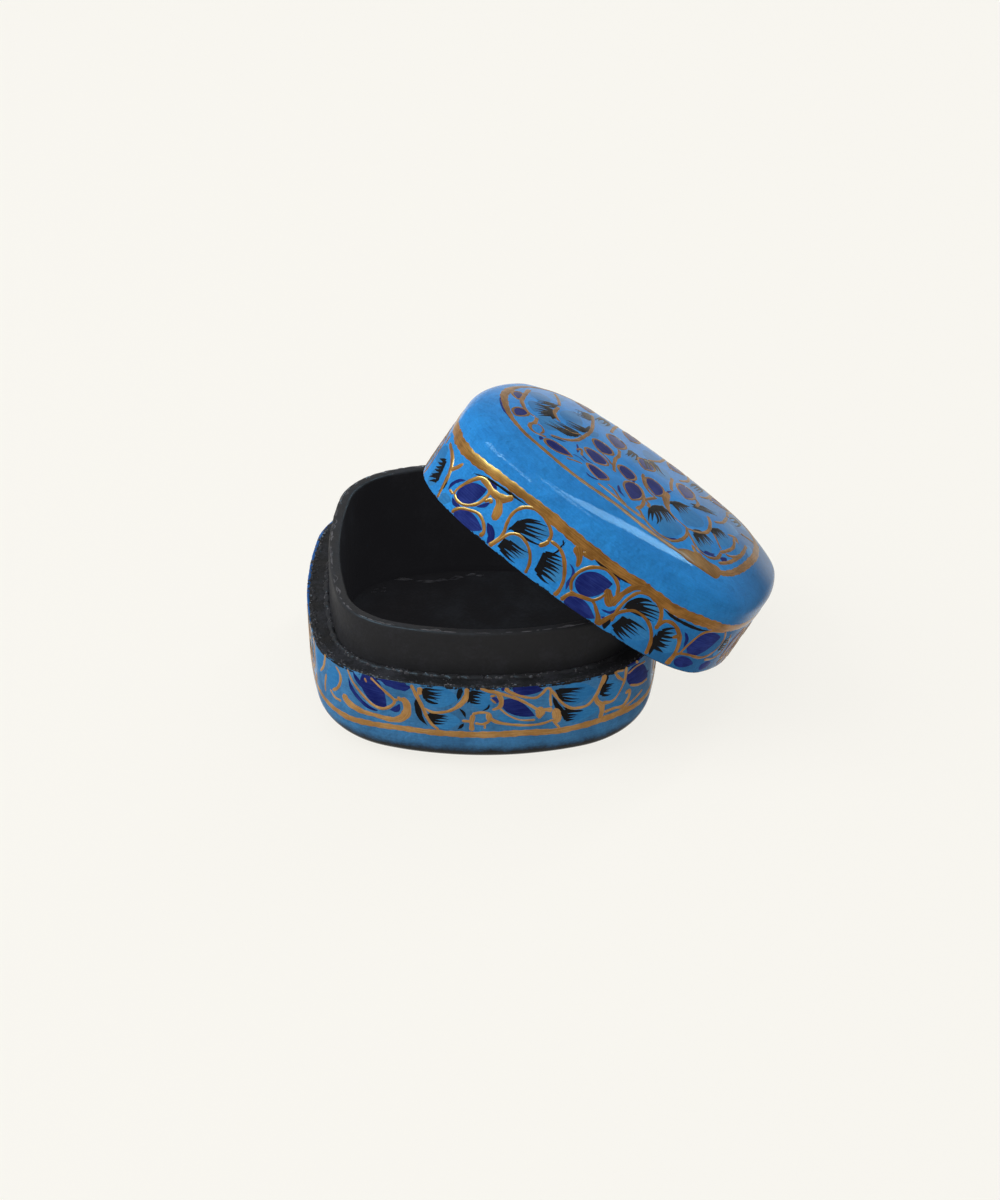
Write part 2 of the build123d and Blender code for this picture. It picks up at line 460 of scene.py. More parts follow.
def new_piece(name, points, faces, materials, body, face_materials=None):
    """Makes a mesh object of named materials that rides on a body."""
    mesh = bpy.data.meshes.new(name)
    mesh.from_pydata([tuple(point) for point in points], [], faces)
    for material in materials:
        mesh.materials.append(paint_set()[material])
    if face_materials is not None:
        mesh.polygons.foreach_set("material_index", face_materials)
    mesh.polygons.foreach_set("use_smooth", [True] * len(mesh.polygons))
    mesh.update()
    piece = show(name, mesh)
    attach(piece, body)
    return piece


def add_values(mesh, name, values):
    """Stores one number for each point of a mesh."""
    mesh.attributes.new(name, "FLOAT", "POINT").data.foreach_set("value", np.asarray(values, np.float32))


def add_places(mesh, name, places):
    """Stores a place in metres, as a map, for each face corner of a mesh."""
    mesh.uv_layers.new(name=name).data.foreach_set("uv", places.astype(np.float32).ravel())


def whole_numbers(items, name):
    """One whole number from each item of a mesh."""
    values = np.empty(len(items), np.int32)
    items.foreach_get(name, values)
    return values


def band(first, second, count):
    """Quads between two closed rings, given by the number of each ring's first point."""
    steps = [(column, (column + 1) % count) for column in range(count)]
    return [(first + here, first + after, second + after, second + here) for here, after in steps]


def fan(first, tip, count):
    """Triangles from a closed ring to a tip."""
    return [(first + column, first + (column + 1) % count, tip) for column in range(count)]


def distances(points):
    """How far each point lies along a path."""
    return np.concatenate(([0.0], np.cumsum(np.linalg.norm(np.diff(points, axis=0), axis=1))))


def arc(centre, radius, start, stop, count):
    """Points of a section arc, as (inset, height). Angles are in degrees, 0 faces out and 90 up."""
    turns = np.radians(np.linspace(start, stop, count))
    return [(centre[0] - radius * math.cos(turn), centre[1] + radius * math.sin(turn)) for turn in turns]


def line(first, last, count):
    """Evenly spaced points of a straight stretch of a section, without its first point."""
    return [tuple(point) for point in np.linspace(first, last, count + 1)[1:]]


class Shell:
    """A wall section carried round the outline. Each stretch of the section has its own material."""

    def __init__(self, box):
        self.box = box
        self.section, self.parts, self.lumpy = [], [], []
        self.count = int(round(box.outline.length / box.sizes.step))
        self.along = np.linspace(0, box.outline.length, self.count, endpoint=False)

    def stretch(self, points, part, lumpy=0.0):
        """Adds points of the section, the material of the wall that leads to them and their lumps."""
        self.section += points
        self.parts += [part] * len(points)
        self.lumpy += [lumpy] * len(points)

    def rings(self, closed):
        """The points of every ring on the ground coat."""
        section = np.array(self.section)
        spots, out = self.box.outline.at(self.along)
        ahead = np.roll(section, -1, axis=0) - np.roll(section, 1, axis=0)
        if not closed:
            ahead[0] = section[1] - section[0]
            ahead[-1] = section[-1] - section[-2]
        facing = unit(ahead[:, ::-1])
        rings = []
        for (inset, height), (outward, up), lumpy in zip(section, facing, self.lumpy):
            points = np.column_stack([spots - out * inset, np.full(self.count, height)])
            normals = np.column_stack([out * outward, np.full(self.count, up)])
            rings.append(self.box.laid(points, normals, self.box.lumps_at(points) * lumpy))
        return rings

    def disc(self, points, ring, upward):
        """Points and faces that close the hole inside a ring of the section."""
        before = ring * self.count
        edge = points[before : before + self.count]
        middle = edge.mean(0)
        facing = np.array([(0.0, 0.0, 1.0 if upward else -1.0)])
        faces = []
        for share in np.arange(1 - DISC_STEP, DISC_STEP / 2, -DISC_STEP):
            spots = middle + (edge - middle) * share
            spots[:, 2] = self.section[ring][1]
            faces += band(before, len(points), self.count)
            before = len(points)
            points = np.vstack([points, self.box.laid(spots, facing, 0.0)])
        faces += fan(before, len(points), self.count)
        middle[2] = self.section[ring][1]
        points = np.vstack([points, self.box.laid(middle[None], facing, 0.0)])
        return points, faces if upward else [face[::-1] for face in faces]

    def build(self, name, materials, body, slot, closed=False, discs=(), tilted=False):
        """Makes the piece. Discs are the directions in which the first and last rings are closed."""
        points = np.vstack(self.rings(closed))
        total = len(self.section)
        faces, labels = [], []
        for ring in range(total if closed else total - 1):
            other = (ring + 1) % total
            faces += band(ring * self.count, other * self.count, self.count)
            labels += [self.parts[other]] * self.count
        for ring, upward in zip((0, total - 1), discs):
            points, extra = self.disc(points, ring, upward)
            faces += extra
            labels += [self.parts[ring]] * len(extra)
        placed = self.box.tilted(points) if tilted else points
        piece = new_piece(name, placed, faces, materials, body, labels)
        self.add_map(piece.data, points, total)
        return piece, points

    def add_map(self, mesh, points, total):
        """Gives each face corner its place along the outline and down the section."""
        run = distances(np.array(self.section))
        corners = whole_numbers(mesh.loops, "vertex_index")
        on_ring = corners < total * self.count
        column = np.where(on_ring, corners % self.count, 0)
        ring = np.where(on_ring, corners // self.count, 0)
        across = np.where(on_ring, run[np.minimum(ring, total - 1)], points[corners, 1])
        along = np.where(on_ring, self.along[column], points[corners, 0])
        starts = whole_numbers(mesh.polygons, "loop_start")
        sizes = whole_numbers(mesh.polygons, "loop_total")
        owner = np.repeat(np.arange(len(sizes)), sizes)
        widest = np.maximum.reduceat(np.where(on_ring, along, 0), starts)[owner]
        wrapped = on_ring & (widest - along > self.box.outline.length / 2)
        along = along + np.where(wrapped, self.box.outline.length, 0)
        add_places(mesh, "around", np.column_stack([along, across]))


# ---- Brushwork ----


def smooth_path(points, closed=False):
    """A smooth curve through given points, sampled evenly. More columns are carried along."""
    points = np.array(points, float)
    if closed:
        points = np.vstack([points[-1], points, points[0], points[1]])
    else:
        points = np.vstack([2 * points[0] - points[1], points, 2 * points[-1] - points[-2]])
    t = np.linspace(0, 1, CURVE_SAMPLES + 1)[:-1, None]
    samples = []
    for before, first, last, after in zip(points[:-3], points[1:-2], points[2:-1], points[3:]):
        samples.append(
            0.5 * (2 * first + (last - before) * t + (2 * before - 5 * first + 4 * last - after) * t**2
                   + (3 * first - before - 3 * last + after) * t**3)
        )
    path = np.vstack(samples + [points[-2:-1]])
    run = distances(path[:, :2])
    count = max(int(run[-1] / STROKE_STEP), STROKE_LEAST)
    even = np.linspace(0, run[-1], count + 1)
    return np.column_stack([np.interp(even, run, column) for column in path.T]), even


def petal_edge(chance, x, y, length, width, tilt):
    """Edge of a hand-painted petal, pointed at its first tip and rounder at its second."""
    turn = np.linspace(0, 2 * math.pi, PETAL_POINTS, endpoint=False)
    near, far = np.abs(np.sin(turn / 2)), np.abs(np.cos(turn / 2))
    across = np.sin(turn) * near ** PETAL_TIPS[0] * far ** PETAL_TIPS[1]
    across *= width / 2 / np.abs(across).max()
    forward = np.cos(turn) * length / 2
    uneven = 1.0
    for waves, depth in PETAL_UNEVEN:
        uneven = uneven + depth * np.sin(waves * turn + chance.uniform(0, 6))
    bend = chance.uniform(-PETAL_BEND, PETAL_BEND) / max(length, 1e-6)
    across = across * uneven + bend * forward**2
    angle = math.radians(tilt)
    return np.column_stack(
        [x + forward * math.cos(angle) - across * math.sin(angle),
         y + forward * math.sin(angle) + across * math.cos(angle)]
    )


class Paint:
    """Strokes and patches of one paint on one surface, gathered into one mesh, in millimetres."""

    def __init__(self, skin, rise, seed):
        self.skin, self.rise = skin, rise
        self.chance = np.random.default_rng(seed)
        self.points, self.faces, self.tones, self.maps = [], [], [], []
        self.total = 0

    def add(self, flat, lift, faces, maps):
        """Lays flat points on the surface."""
        self.points.append(self.skin(flat[:, 0] * MM, flat[:, 1] * MM, np.asarray(lift) * MM))
        self.faces += [tuple(corner + self.total for corner in face) for face in faces]
        self.tones.append(np.full(len(flat), self.chance.uniform()))
        self.maps.append(maps)
        self.total += len(flat)

    def ribbon(self, path, run, half, section, rise, closed=False, fullness=1.0):
        """Carries a raised section along a path, with its half width and its fullness at each point."""
        ahead = np.gradient(path, axis=0)
        if closed:
            ahead[0] = ahead[-1] = path[1] - path[-2]
        ahead = unit(ahead)
        aside = np.column_stack([-ahead[:, 1], ahead[:, 0]])
        count = len(path)
        flat, lift, maps, faces = [], [], [], []
        for across, level in section:
            flat.append(path + aside * (half * across)[:, None])
            lift.append(np.full(count, EDGE_SINK) + (rise - EDGE_SINK) * level * fullness)
            maps.append(np.column_stack([run, half * across]))
        for row in range(len(section) - 1):
            corners = range(row * count, row * count + count - 1)
            faces += [(corner, corner + 1, corner + count + 1, corner + count) for corner in corners]
        self.add(np.vstack(flat), np.concatenate(lift), faces, np.vstack(maps))

    def stroke(self, points, width, taper=(0.0, 0.0), closed=False):
        """A brush stroke. Width is one number or several along it, and taper thins the two ends."""
        widths = np.atleast_1d(np.asarray(width, float))
        spread = np.interp(np.linspace(0, len(widths) - 1, len(points)), range(len(widths)), widths)
        path, run = smooth_path(np.column_stack([points, spread]), closed)
        path, half = path[:, :2], path[:, 2] / 2
        length = run[-1]
        turns = 2 * math.pi * run / length
        for ripple in STROKE_RIPPLES:
            waves = max(round(length / ripple), 1)
            half = half * (1 + STROKE_UNEVEN * np.sin(turns * waves + self.chance.uniform(0, 6)))
        for end, distance in ((0, run), (1, length - run)):
            if closed:
                continue
            if taper[end]:
                half = half * np.clip(distance / (taper[end] * length), 0, 1) ** 0.75
            else:
                cap = np.clip(distance / np.maximum(half, 1e-6), 0, 1)
                half = half * np.sqrt(np.maximum(1 - (1 - cap) ** 2, 0))
        half = np.maximum(half, 0.01)
        full = np.clip(half / (spread.mean() / 2), 0.25, 1)
        self.ribbon(path, run, half, STROKE_SECTION, self.rise, closed, full)

    def patch(self, edge):
        """A filled shape with a low rounded edge. The edge is a closed loop, seen from its middle."""
        edge = np.array(edge, float)
        middle = edge.mean(0)
        count = len(edge)
        flat = [middle + (edge - middle) * share for share, _ in PATCH_RINGS]
        lift = [np.full(count, EDGE_SINK + (self.rise - EDGE_SINK) * level) for _, level in PATCH_RINGS]
        faces = []
        for ring in range(len(PATCH_RINGS) - 1):
            faces += band(ring * count, (ring + 1) * count, count)
        faces += fan((len(PATCH_RINGS) - 1) * count, len(PATCH_RINGS) * count, count)
        flat = np.vstack([*flat, middle[None]])
        self.add(flat, np.concatenate([*lift, [self.rise]]), faces, flat)

    def blob(self, points):
        """A filled shape given by a few points of its edge."""
        self.patch(smooth_path(points, closed=True)[0][:-1])

    def petal(self, x, y, length, width, tilt):
        """A filled petal."""
        self.patch(petal_edge(self.chance, x, y, length, width, tilt))

    def ring(self, x, y, length, width, tilt, line_width):
        """The outline of a petal."""
        edge = petal_edge(self.chance, x, y, length + 2 * RING_GROW, width + 2 * RING_GROW, tilt)
        self.stroke(edge[::RING_SKIP], line_width, closed=True)

    def comb(self, roots, tips, count):
        """Black comb: fingers that fan out from a solid root and run to sharp points at the tip line."""
        starts, _ = smooth_path(roots)
        stops, _ = smooth_path(tips)
        spots = np.linspace(0, 1, count)
        first = starts[(spots * (len(starts) - 1)).astype(int)]
        last = stops[(spots * (len(stops) - 1)).astype(int)]
        first = first.mean(0) + (first - first.mean(0)) * COMB_GATHER
        last = first + (last - first) * self.chance.uniform(*COMB_REACH, count)[:, None]
        inner = first + (last - first) * self.chance.uniform(*COMB_ROOT, count)[:, None]
        self.blob([*first, *inner[::-1]])
        ahead = unit(last - inner)
        apart = np.diff(inner, axis=0)
        gap = np.abs(apart[:, 0] * ahead[1:, 1] - apart[:, 1] * ahead[1:, 0]).mean()
        for start, stop, middle in zip(first, last, inner):
            aside = (stop - start)[::-1] * (-1, 1) * self.chance.uniform(-FINGER_SWAY, FINGER_SWAY)
            width = gap * self.chance.uniform(*FINGER_WIDTH)
            self.finger((start + middle) / 2, (middle + stop) / 2 + aside, stop, width)

    def finger(self, start, middle, end, width):
        """One tapered stroke, thick for its first third."""
        path, run = smooth_path((start, middle, end))
        half = width / 2 * np.clip((1 - run / run[-1]) / FINGER_TAPER, 0.02, 1) ** 0.8
        self.ribbon(path, run, half, FINGER_SECTION, self.rise * self.chance.uniform(0.85, 1.0))

    def build(self, name, material, body, slot):
        """Turns everything painted so far into one piece."""
        mesh = new_piece(name, np.vstack(self.points), self.faces, [material], body).data
        add_values(mesh, "tone", np.concatenate(self.tones))
        add_places(mesh, "brush", (np.vstack(self.maps) * MM)[whole_numbers(mesh.loops, "vertex_index")])
        return mesh


# ---- Materials ----

HAZE = 0.42  # gloss added at the far end of the lid
LID_FARWARD = (0.2135, 0.9194, -0.3302)  # direction towards the far end of the lid as it leans
HAZE_RISE = (-0.0050, 0.0156)  # where the gloss grows along that direction, in metres
HAZE_FALL = (0.0166, 0.0256)  # where it goes back to half
HAZE_GRAZING = (0.78, 0.93)  # how far the surface turns away where its gloss grows too
PAINTED_SHADE_HEIGHTS = (0.018, 0.034)  # heights over the table between which the painted shade on the lid's ground coat fades out
NUMBER, VECTOR, COLOUR = "NodeSocketFloat", "NodeSocketVector", "NodeSocketColor"


class Nodes:
    """Short calls for building a node tree."""

    def __init__(self, tree):
        self.tree = tree

    def fill(self, node, inputs):
        """Fills a node's inputs, by name or by number, with values or with other nodes' sockets."""
        for key, value in inputs.items():
            if isinstance(value, bpy.types.NodeSocket):
                self.tree.links.new(value, node.inputs[key])
            else:
                node.inputs[key].default_value = value
        return node

    def add(self, kind, inputs=None, **options):
        """Adds a node with its options and inputs."""
        node = self.tree.nodes.new(kind)
        for option, value in options.items():
            setattr(node, option, value)
        return self.fill(node, inputs or {})

    def group(self, tree, **inputs):
        """The outputs of a node group placed with its own values."""
        return self.add("ShaderNodeGroup", inputs, node_tree=tree).outputs

    def sum(self, operation, first, second=0.0, third=0.0, clamp=False):
        """A Math node's result."""
        inputs = {0: first, 1: second, 2: third}
        return self.add("ShaderNodeMath", inputs, operation=operation, use_clamp=clamp).outputs[0]

    def plus(self, first, second, clamp=False):
        """The first number plus the second."""
        return self.sum("ADD", first, second, clamp=clamp)

    def minus(self, first, second):
        """The first number minus the second."""
        return self.sum("SUBTRACT", first, second)

    def times(self, first, second):
        """The first number times the second."""
        return self.sum("MULTIPLY", first, second)

    def blend(self, share, first, second):
        """A mix of two colours."""
        return self.add("ShaderNodeMix", {0: share, 6: first, 7: second}, data_type="RGBA").outputs[2]

    def step(self, value, low, high, out_low=0.0, out_high=1.0):
        """A smooth ramp of a value."""
        inputs = {0: value, 1: low, 2: high, 3: out_low, 4: out_high}
        return self.add("ShaderNodeMapRange", inputs, interpolation_type="SMOOTHSTEP").outputs[0]

    def noise(self, vector, scale, detail=3.0, rough=0.55):
        """Noise of a scale per metre."""
        inputs = {"Vector": vector, "Scale": scale, "Detail": detail, "Roughness": rough}
        return self.add("ShaderNodeTexNoise", inputs).outputs[0]

    def value(self, name):
        """A number stored on the mesh."""
        return self.add("ShaderNodeAttribute", attribute_name=name).outputs["Fac"]

    def place(self):
        """The place on the piece, in metres."""
        return self.add("ShaderNodeTexCoord").outputs["Object"]

    def brush(self, name="brush"):
        """The place along and across the brush strokes, in metres."""
        return self.add("ShaderNodeUVMap", uv_map=name).outputs[0]


def rgba(value):
    """A colour with full alpha."""
    return (*value, 1.0)


def shared_group(name, inputs, outputs, wire):
    """A shader node group with named sockets, made once. Wire makes its results from its given sockets."""
    if name not in bpy.data.node_groups:
        tree = bpy.data.node_groups.new(name, "ShaderNodeTree")
        for socket, (kind, value) in inputs.items():
            item = tree.interface.new_socket(socket, in_out="INPUT", socket_type=kind)
            if value is not None:
                item.default_value = value
        for socket, kind in outputs.items():
            tree.interface.new_socket(socket, in_out="OUTPUT", socket_type=kind)
        nodes = Nodes(tree)
        given = nodes.add("NodeGroupInput").outputs
        nodes.fill(nodes.add("NodeGroupOutput"), wire(nodes, given))
    return bpy.data.node_groups[name]


def wire_brushwork(nodes, given):
    """Streaks along the brush and cloudy thin and thick paint."""
    stretched = nodes.add("ShaderNodeMapping", {"Vector": given["Brush"], "Scale": (260.0, 4200.0, 1.0)})
    streak = nodes.noise(stretched.outputs[0], 1.0, 2.0)
    cloud = nodes.noise(given["Place"], 240.0, 3.0)
    grain = nodes.noise(given["Place"], 2600.0, 2.0)
    streaky = nodes.times(nodes.step(streak, 0.35, 0.72), given["Streaks"])
    cloudy = nodes.times(nodes.step(cloud, 0.32, 0.7), given["Clouds"])
    uneven = nodes.times(nodes.minus(given["Tone"], 0.5), 0.35)
    thin = nodes.plus(nodes.plus(streaky, cloudy), uneven, clamp=True)
    mixed = nodes.blend(thin, given["Thick"], given["Thin"])
    speck = nodes.step(grain, 0.3, 0.75, 0.93, 1.05)
    speckled = nodes.add("ShaderNodeVectorMath", {0: mixed, 1: speck}, operation="MULTIPLY").outputs[0]
    return {"Color": speckled, "Height": nodes.plus(nodes.times(streak, 0.6), nodes.times(grain, 0.2))}


def brushwork_group():
    """Hand-brushed paint in two colours, thick and thin."""
    inputs = {
        "Thick": (COLOUR, rgba((1, 1, 1))), "Thin": (COLOUR, rgba((0.5, 0.5, 0.5))), "Brush": (VECTOR, None),
        "Place": (VECTOR, None), "Streaks": (NUMBER, 0.5), "Clouds": (NUMBER, 0.5), "Tone": (NUMBER, 0.5),
    }
    return shared_group("Brushwork", inputs, {"Color": COLOUR, "Height": NUMBER}, wire_brushwork)


def wire_varnish(nodes, given):
    """Soft swells, orange peel and small dust pimples."""
    swell = nodes.noise(given["Place"], 150.0, 1.0, 0.4)
    ripple = nodes.noise(given["Place"], 620.0, 2.0, 0.5)
    peel = nodes.noise(given["Place"], 900.0, 2.0)
    pimple = nodes.add("ShaderNodeTexVoronoi", {"Vector": given["Place"], "Scale": 420.0}).outputs["Distance"]
    pimple = nodes.step(pimple, 0.0, 0.09, 1.0, 0.0)
    swell = nodes.sum("MULTIPLY_ADD", ripple, 0.4, swell)
    height = nodes.plus(nodes.times(swell, given["Swells"]), nodes.times(peel, given["Peel"]))
    return {"Height": nodes.plus(height, nodes.times(pimple, 0.06))}


def varnish_group():
    """Unevenness of a hand-brushed varnish."""
    inputs = {"Place": (VECTOR, None), "Swells": (NUMBER, 1.0), "Peel": (NUMBER, 0.2)}
    return shared_group("Hand varnish", inputs, {"Height": NUMBER}, wire_varnish)


def wire_ragged(nodes, given):
    """A mask that is 1 nearer to the edge than a width that wanders."""
    coarse = nodes.minus(nodes.noise(given["Place"], 330.0, 2.0), 0.5)
    fine = nodes.minus(nodes.noise(given["Place"], 1900.0, 2.0), 0.5)
    swing = nodes.plus(coarse, nodes.times(fine, 0.6))
    reach = nodes.sum("MULTIPLY_ADD", swing, given["Ragged"], given["Width"])
    over = nodes.sum("DIVIDE", nodes.minus(reach, given["Distance"]), given["Soft"])
    return {"Mask": nodes.step(over, -0.5, 0.5)}


def ragged_group():
    """Where one paint gives way to another in a ragged line at a distance from an edge."""
    inputs = {"Distance": (NUMBER, 0.0), "Place": (VECTOR, None), "Width": (NUMBER, 0.0004),
              "Ragged": (NUMBER, 0.0006), "Soft": (NUMBER, 0.0001)}
    return shared_group("Ragged edge", inputs, {"Mask": NUMBER}, wire_ragged)


def lacquer(name, coat=0.07, coat_roughness=0.03, roughness=0.5, specular=0.0, metallic=0.0, haze=0.0):
    """A varnished material's nodes and its Principled node. Haze adds gloss at the far end."""
    material = bpy.data.materials.new(name)
    material.use_nodes = True
    nodes = Nodes(material.node_tree)
    shader = material.node_tree.nodes["Principled BSDF"]
    nodes.fill(shader, {"Roughness": roughness, "Specular IOR Level": specular, "Metallic": metallic,
                        "Coat Weight": coat, "Coat Roughness": coat_roughness})
    if haze:
        depth = nodes.add("ShaderNodeVectorMath", {0: nodes.place(), 1: LID_FARWARD}, operation="DOT_PRODUCT")
        rising = nodes.step(depth.outputs["Value"], *HAZE_RISE, coat, coat + haze)
        falling = nodes.step(depth.outputs["Value"], *HAZE_FALL, 1.0, 0.5)
        facing = nodes.add("ShaderNodeLayerWeight", {"Blend": 0.5}).outputs["Facing"]
        grazing = nodes.step(facing, *HAZE_GRAZING, coat, coat + haze)
        nodes.fill(shader, {"Coat Weight": nodes.sum("MAXIMUM", nodes.times(rising, falling), grazing)})
    return nodes, shader


def finish_surface(nodes, shader, painted, height, swells, peel, strength, distance=0.00012):
    """Connects colour and relief. Height adds the paint's own relief to the varnish's."""
    relief = nodes.group(varnish_group(), Place=nodes.place(), Swells=swells, Peel=peel)["Height"]
    if height is not None:
        relief = nodes.plus(relief, height)
    bump = nodes.add("ShaderNodeBump", {"Strength": strength, "Distance": distance, "Height": relief})
    nodes.fill(shader, {"Base Color": painted, "Normal": bump.outputs[0]})


def ground_material(name, paints, thick, thin, deep_share, foot_black_and_shade, coat=0.07, dull=0.0):
    """Sky-blue ground coat with black lacquer over its edges; the black band at the base's foot is black
    paint and also painted contact shade. Dull says how much painted shade darkens the lid's coat near the
    table.
    """
    nodes, shader = lacquer(name, coat, haze=HAZE)
    place = nodes.place()
    # Painted shade: the share of darker blue, from dull at the table to none higher up.
    low = nodes.step(nodes.add("ShaderNodeSeparateXYZ", {0: place}).outputs["Z"], *PAINTED_SHADE_HEIGHTS, dull, 0.0)
    brushwork = nodes.group(brushwork_group(), Thick=rgba(thick), Thin=rgba(thin), Place=place,
                            Brush=nodes.brush("around"), Streaks=0.22, Clouds=deep_share, Tone=0.5)
    painted = nodes.blend(low, brushwork["Color"], rgba(paints.sky_painted_shade))
    # The black band round the base's foot is black paint and also painted contact shade.
    edges = (("to_foot", foot_black_and_shade, 0.0016, 0.0024), ("to_edge", 0.0003, 0.0011, 0.0001))
    for edge, width, ragged, soft in edges:
        mask = nodes.group(ragged_group(), Distance=nodes.value(edge), Place=place,
                           Width=width, Ragged=ragged, Soft=soft)["Mask"]
        painted = nodes.blend(mask, painted, rgba(paints.black))
    finish_surface(nodes, shader, painted, None, 1.0, 0.06, 1.0, 0.0014)


def stroke_material(name, thick, thin, streaks=0.35, clouds=0.5, **look):
    """Paint of the strokes and patches."""
    nodes, shader = lacquer(name, haze=HAZE, **look)
    brushwork = nodes.group(brushwork_group(), Thick=rgba(thick), Thin=rgba(thin), Brush=nodes.brush(),
                            Place=nodes.place(), Streaks=streaks, Clouds=clouds, Tone=nodes.value("tone"))
    finish_surface(nodes, shader, brushwork["Color"], nodes.times(brushwork["Height"], 0.5), 0.5, 0.1, 0.35)


def black_material(name, paints, black, edge_wear_and_glint, dust, lumps, glow=0.25, roughness=0.5, coat=0.04):
    """Black lacquer, dusty on its flats, with rubbed edges that are also painted glints, and a painted glow
    from its own emission.
    """
    nodes, shader = lacquer(name, coat, coat_roughness=0.2, roughness=roughness, specular=0.03)
    place = nodes.place()
    cloud = nodes.noise(place, 170.0, 4.0)
    fine = nodes.noise(place, 1500.0, 4.0, 0.7)
    dusty = nodes.times(nodes.step(nodes.plus(cloud, nodes.times(fine, 0.6)), 0.72, 1.05), dust)
    # Rubbed edges: worn lacquer that is also a painted glint along the edges.
    rubbed = nodes.group(ragged_group(), Distance=nodes.value("to_edge"), Place=place, Width=edge_wear_and_glint,
                         Ragged=0.0016, Soft=0.0002)
    base = nodes.blend(dusty, rgba(black), rgba(paints.black_worn))
    worn = nodes.blend(nodes.times(rubbed["Mask"], 0.5), base, rgba(paints.glue))
    rough = nodes.step(cloud, 0.3, 0.7, roughness - 0.1, roughness + 0.18)
    # Painted light: the black lacquer glows by its own emission.
    painted_glow_and_roughness = {"Emission Color": rgba(paints.black_painted_glow), "Emission Strength": glow, "Roughness": rough}
    nodes.fill(shader, painted_glow_and_roughness)
    finish_surface(nodes, shader, worn, nodes.times(fine, lumps), 0.6, 0.5, 0.5, 0.0002)


def paint_set():
    """Every material of the box by name, made once."""
    if "gold_paint" in bpy.data.materials:
        return bpy.data.materials
    paints = settings().paints
    # Painted shade: dull=0.75 darkens the lid's coat towards the table.
    ground_material("sky_ground_lid", paints, paints.sky, paints.sky_deep, 0.3, -0.01, dull=0.75)
    # The base's ground coat uses the darker, greyer copies of the sky blue: painted shade.
    ground_material("sky_ground_base", paints, paints.aged, paints.sky_shaded_base_deep, 0.5, 0.0036, 0.16)
    gilt = {"streaks": 0.75, "clouds": 0.8, "roughness": 0.34, "coat_roughness": 0.12}
    stroke_material("gold_paint", paints.gold_bright, paints.gold, metallic=0.5, **gilt)
    stroke_material("dull_gold_paint", paints.dull_gold_bright, paints.dull_gold, metallic=0.12, **gilt)
    stroke_material("old_gold_paint", paints.old_gold_bright, paints.old_gold, metallic=0.3, **gilt)
    stroke_material("navy_paint", paints.navy, paints.navy_light, 0.5, 0.55)
    stroke_material("ink_paint", paints.ink, paints.black, 0.4, 0.3)
    stroke_material("feather_paint", paints.feather, paints.feather_pale, 0.4, 0.45)
    stroke_material("shadow_paint", paints.sky_deep, paints.navy_light, 0.3, 0.3)
    # Pale grey flecks and rubs that are also painted glints.
    stroke_material("glue_flecks", paints.glue, paints.black_worn, 0.2, 0.6, roughness=0.4, coat=0.1)
    # Painted light: the inside is a darker black with four times the glow of the other black lacquers.
    black_material("black_inside_painted_light", paints, paints.black_hollow, -0.01, 0.25, 0.25, glow=1.0, coat=0.012)
    black_material("black_collar", paints, paints.black_rubbed, -0.0004, 0.45, 0.5)
    black_material("black_ledge", paints, paints.black, 0.0001, 0.9, 1.6, roughness=0.6)
    return bpy.data.materials


# ---- Motifs: strokes of one hand, in millimetres and degrees ----
# Petals, feathers and outlined petals: x, y, length, width and tilt.
# Navy, black and gold strokes: a width or several along the stroke, and then its places one after another.
# Combs: the places of the roots, the places of the tips and how many fingers.


def pairs(row):
    """The places of a row that gives them one after another: x, y, x, y."""
    return list(zip(row[::2], row[1::2]))


class Layers:
    """The paints on one surface: blue feathers, navy petals, black combs and gold lines."""

    def __init__(self, skin, seed, outline=OUTLINE_WIDTH):
        self.outline = outline
        self.feather = Paint(skin, FEATHER_RISE, seed + 1)
        self.navy = Paint(skin, PETAL_RISE, seed + 2)
        self.ink = Paint(skin, COMB_RISE, seed + 3)
        self.gold = Paint(skin, GOLD_RISE, seed + 4)

    def paint(self, layout, place=lambda point: point, turn=1.0):
        """Paints a layout. Place moves each of its points, and turn mirrors its tilts."""

        def moved(row):
            return tuple(place(point) for point in pairs(row))

        for kind, paint in (("feathers", self.feather), ("petals", self.navy), ("outlined", self.navy)):
            for x, y, length, width, tilt in layout.get(kind, ()):
                paint.petal(*place((x, y)), length, width, tilt * turn)
                if kind == "outlined":
                    self.gold.ring(*place((x, y)), length, width, tilt * turn, self.outline)
        for width, *row in layout.get("navy", ()):
            self.navy.stroke(moved(row), width, NAVY_TAPER)
        for width, *row in layout.get("black", ()):
            self.ink.stroke(moved(row), width, INK_TAPER)
        for roots, tips, fingers in layout.get("combs", ()):
            self.ink.comb(moved(roots), moved(tips), fingers)
        for width, *row in layout["gold"]:
            self.gold.stroke(moved(row), width)

    def line_round(self, round_box, row, width):
        """A gold line all round the box, which runs a little over its own start."""
        self.gold.stroke(pairs(row) + [(row[0] + round_box + OVERLAP, row[1])], width)

    def build(self, prefix, body, slot, gold="gold_paint"):
        """Makes one piece for each paint that was used."""
        pieces = (
            (self.feather, "feathers", "feather_paint"),
            (self.navy, "navy_petals", "navy_paint"),
            (self.ink, "black_combs", "ink_paint"),
            (self.gold, "gold_lines", gold),
        )
        for paint, name, material in pieces:
            if paint.total:
                paint.build(f"{prefix}_{name}", material, body, slot)


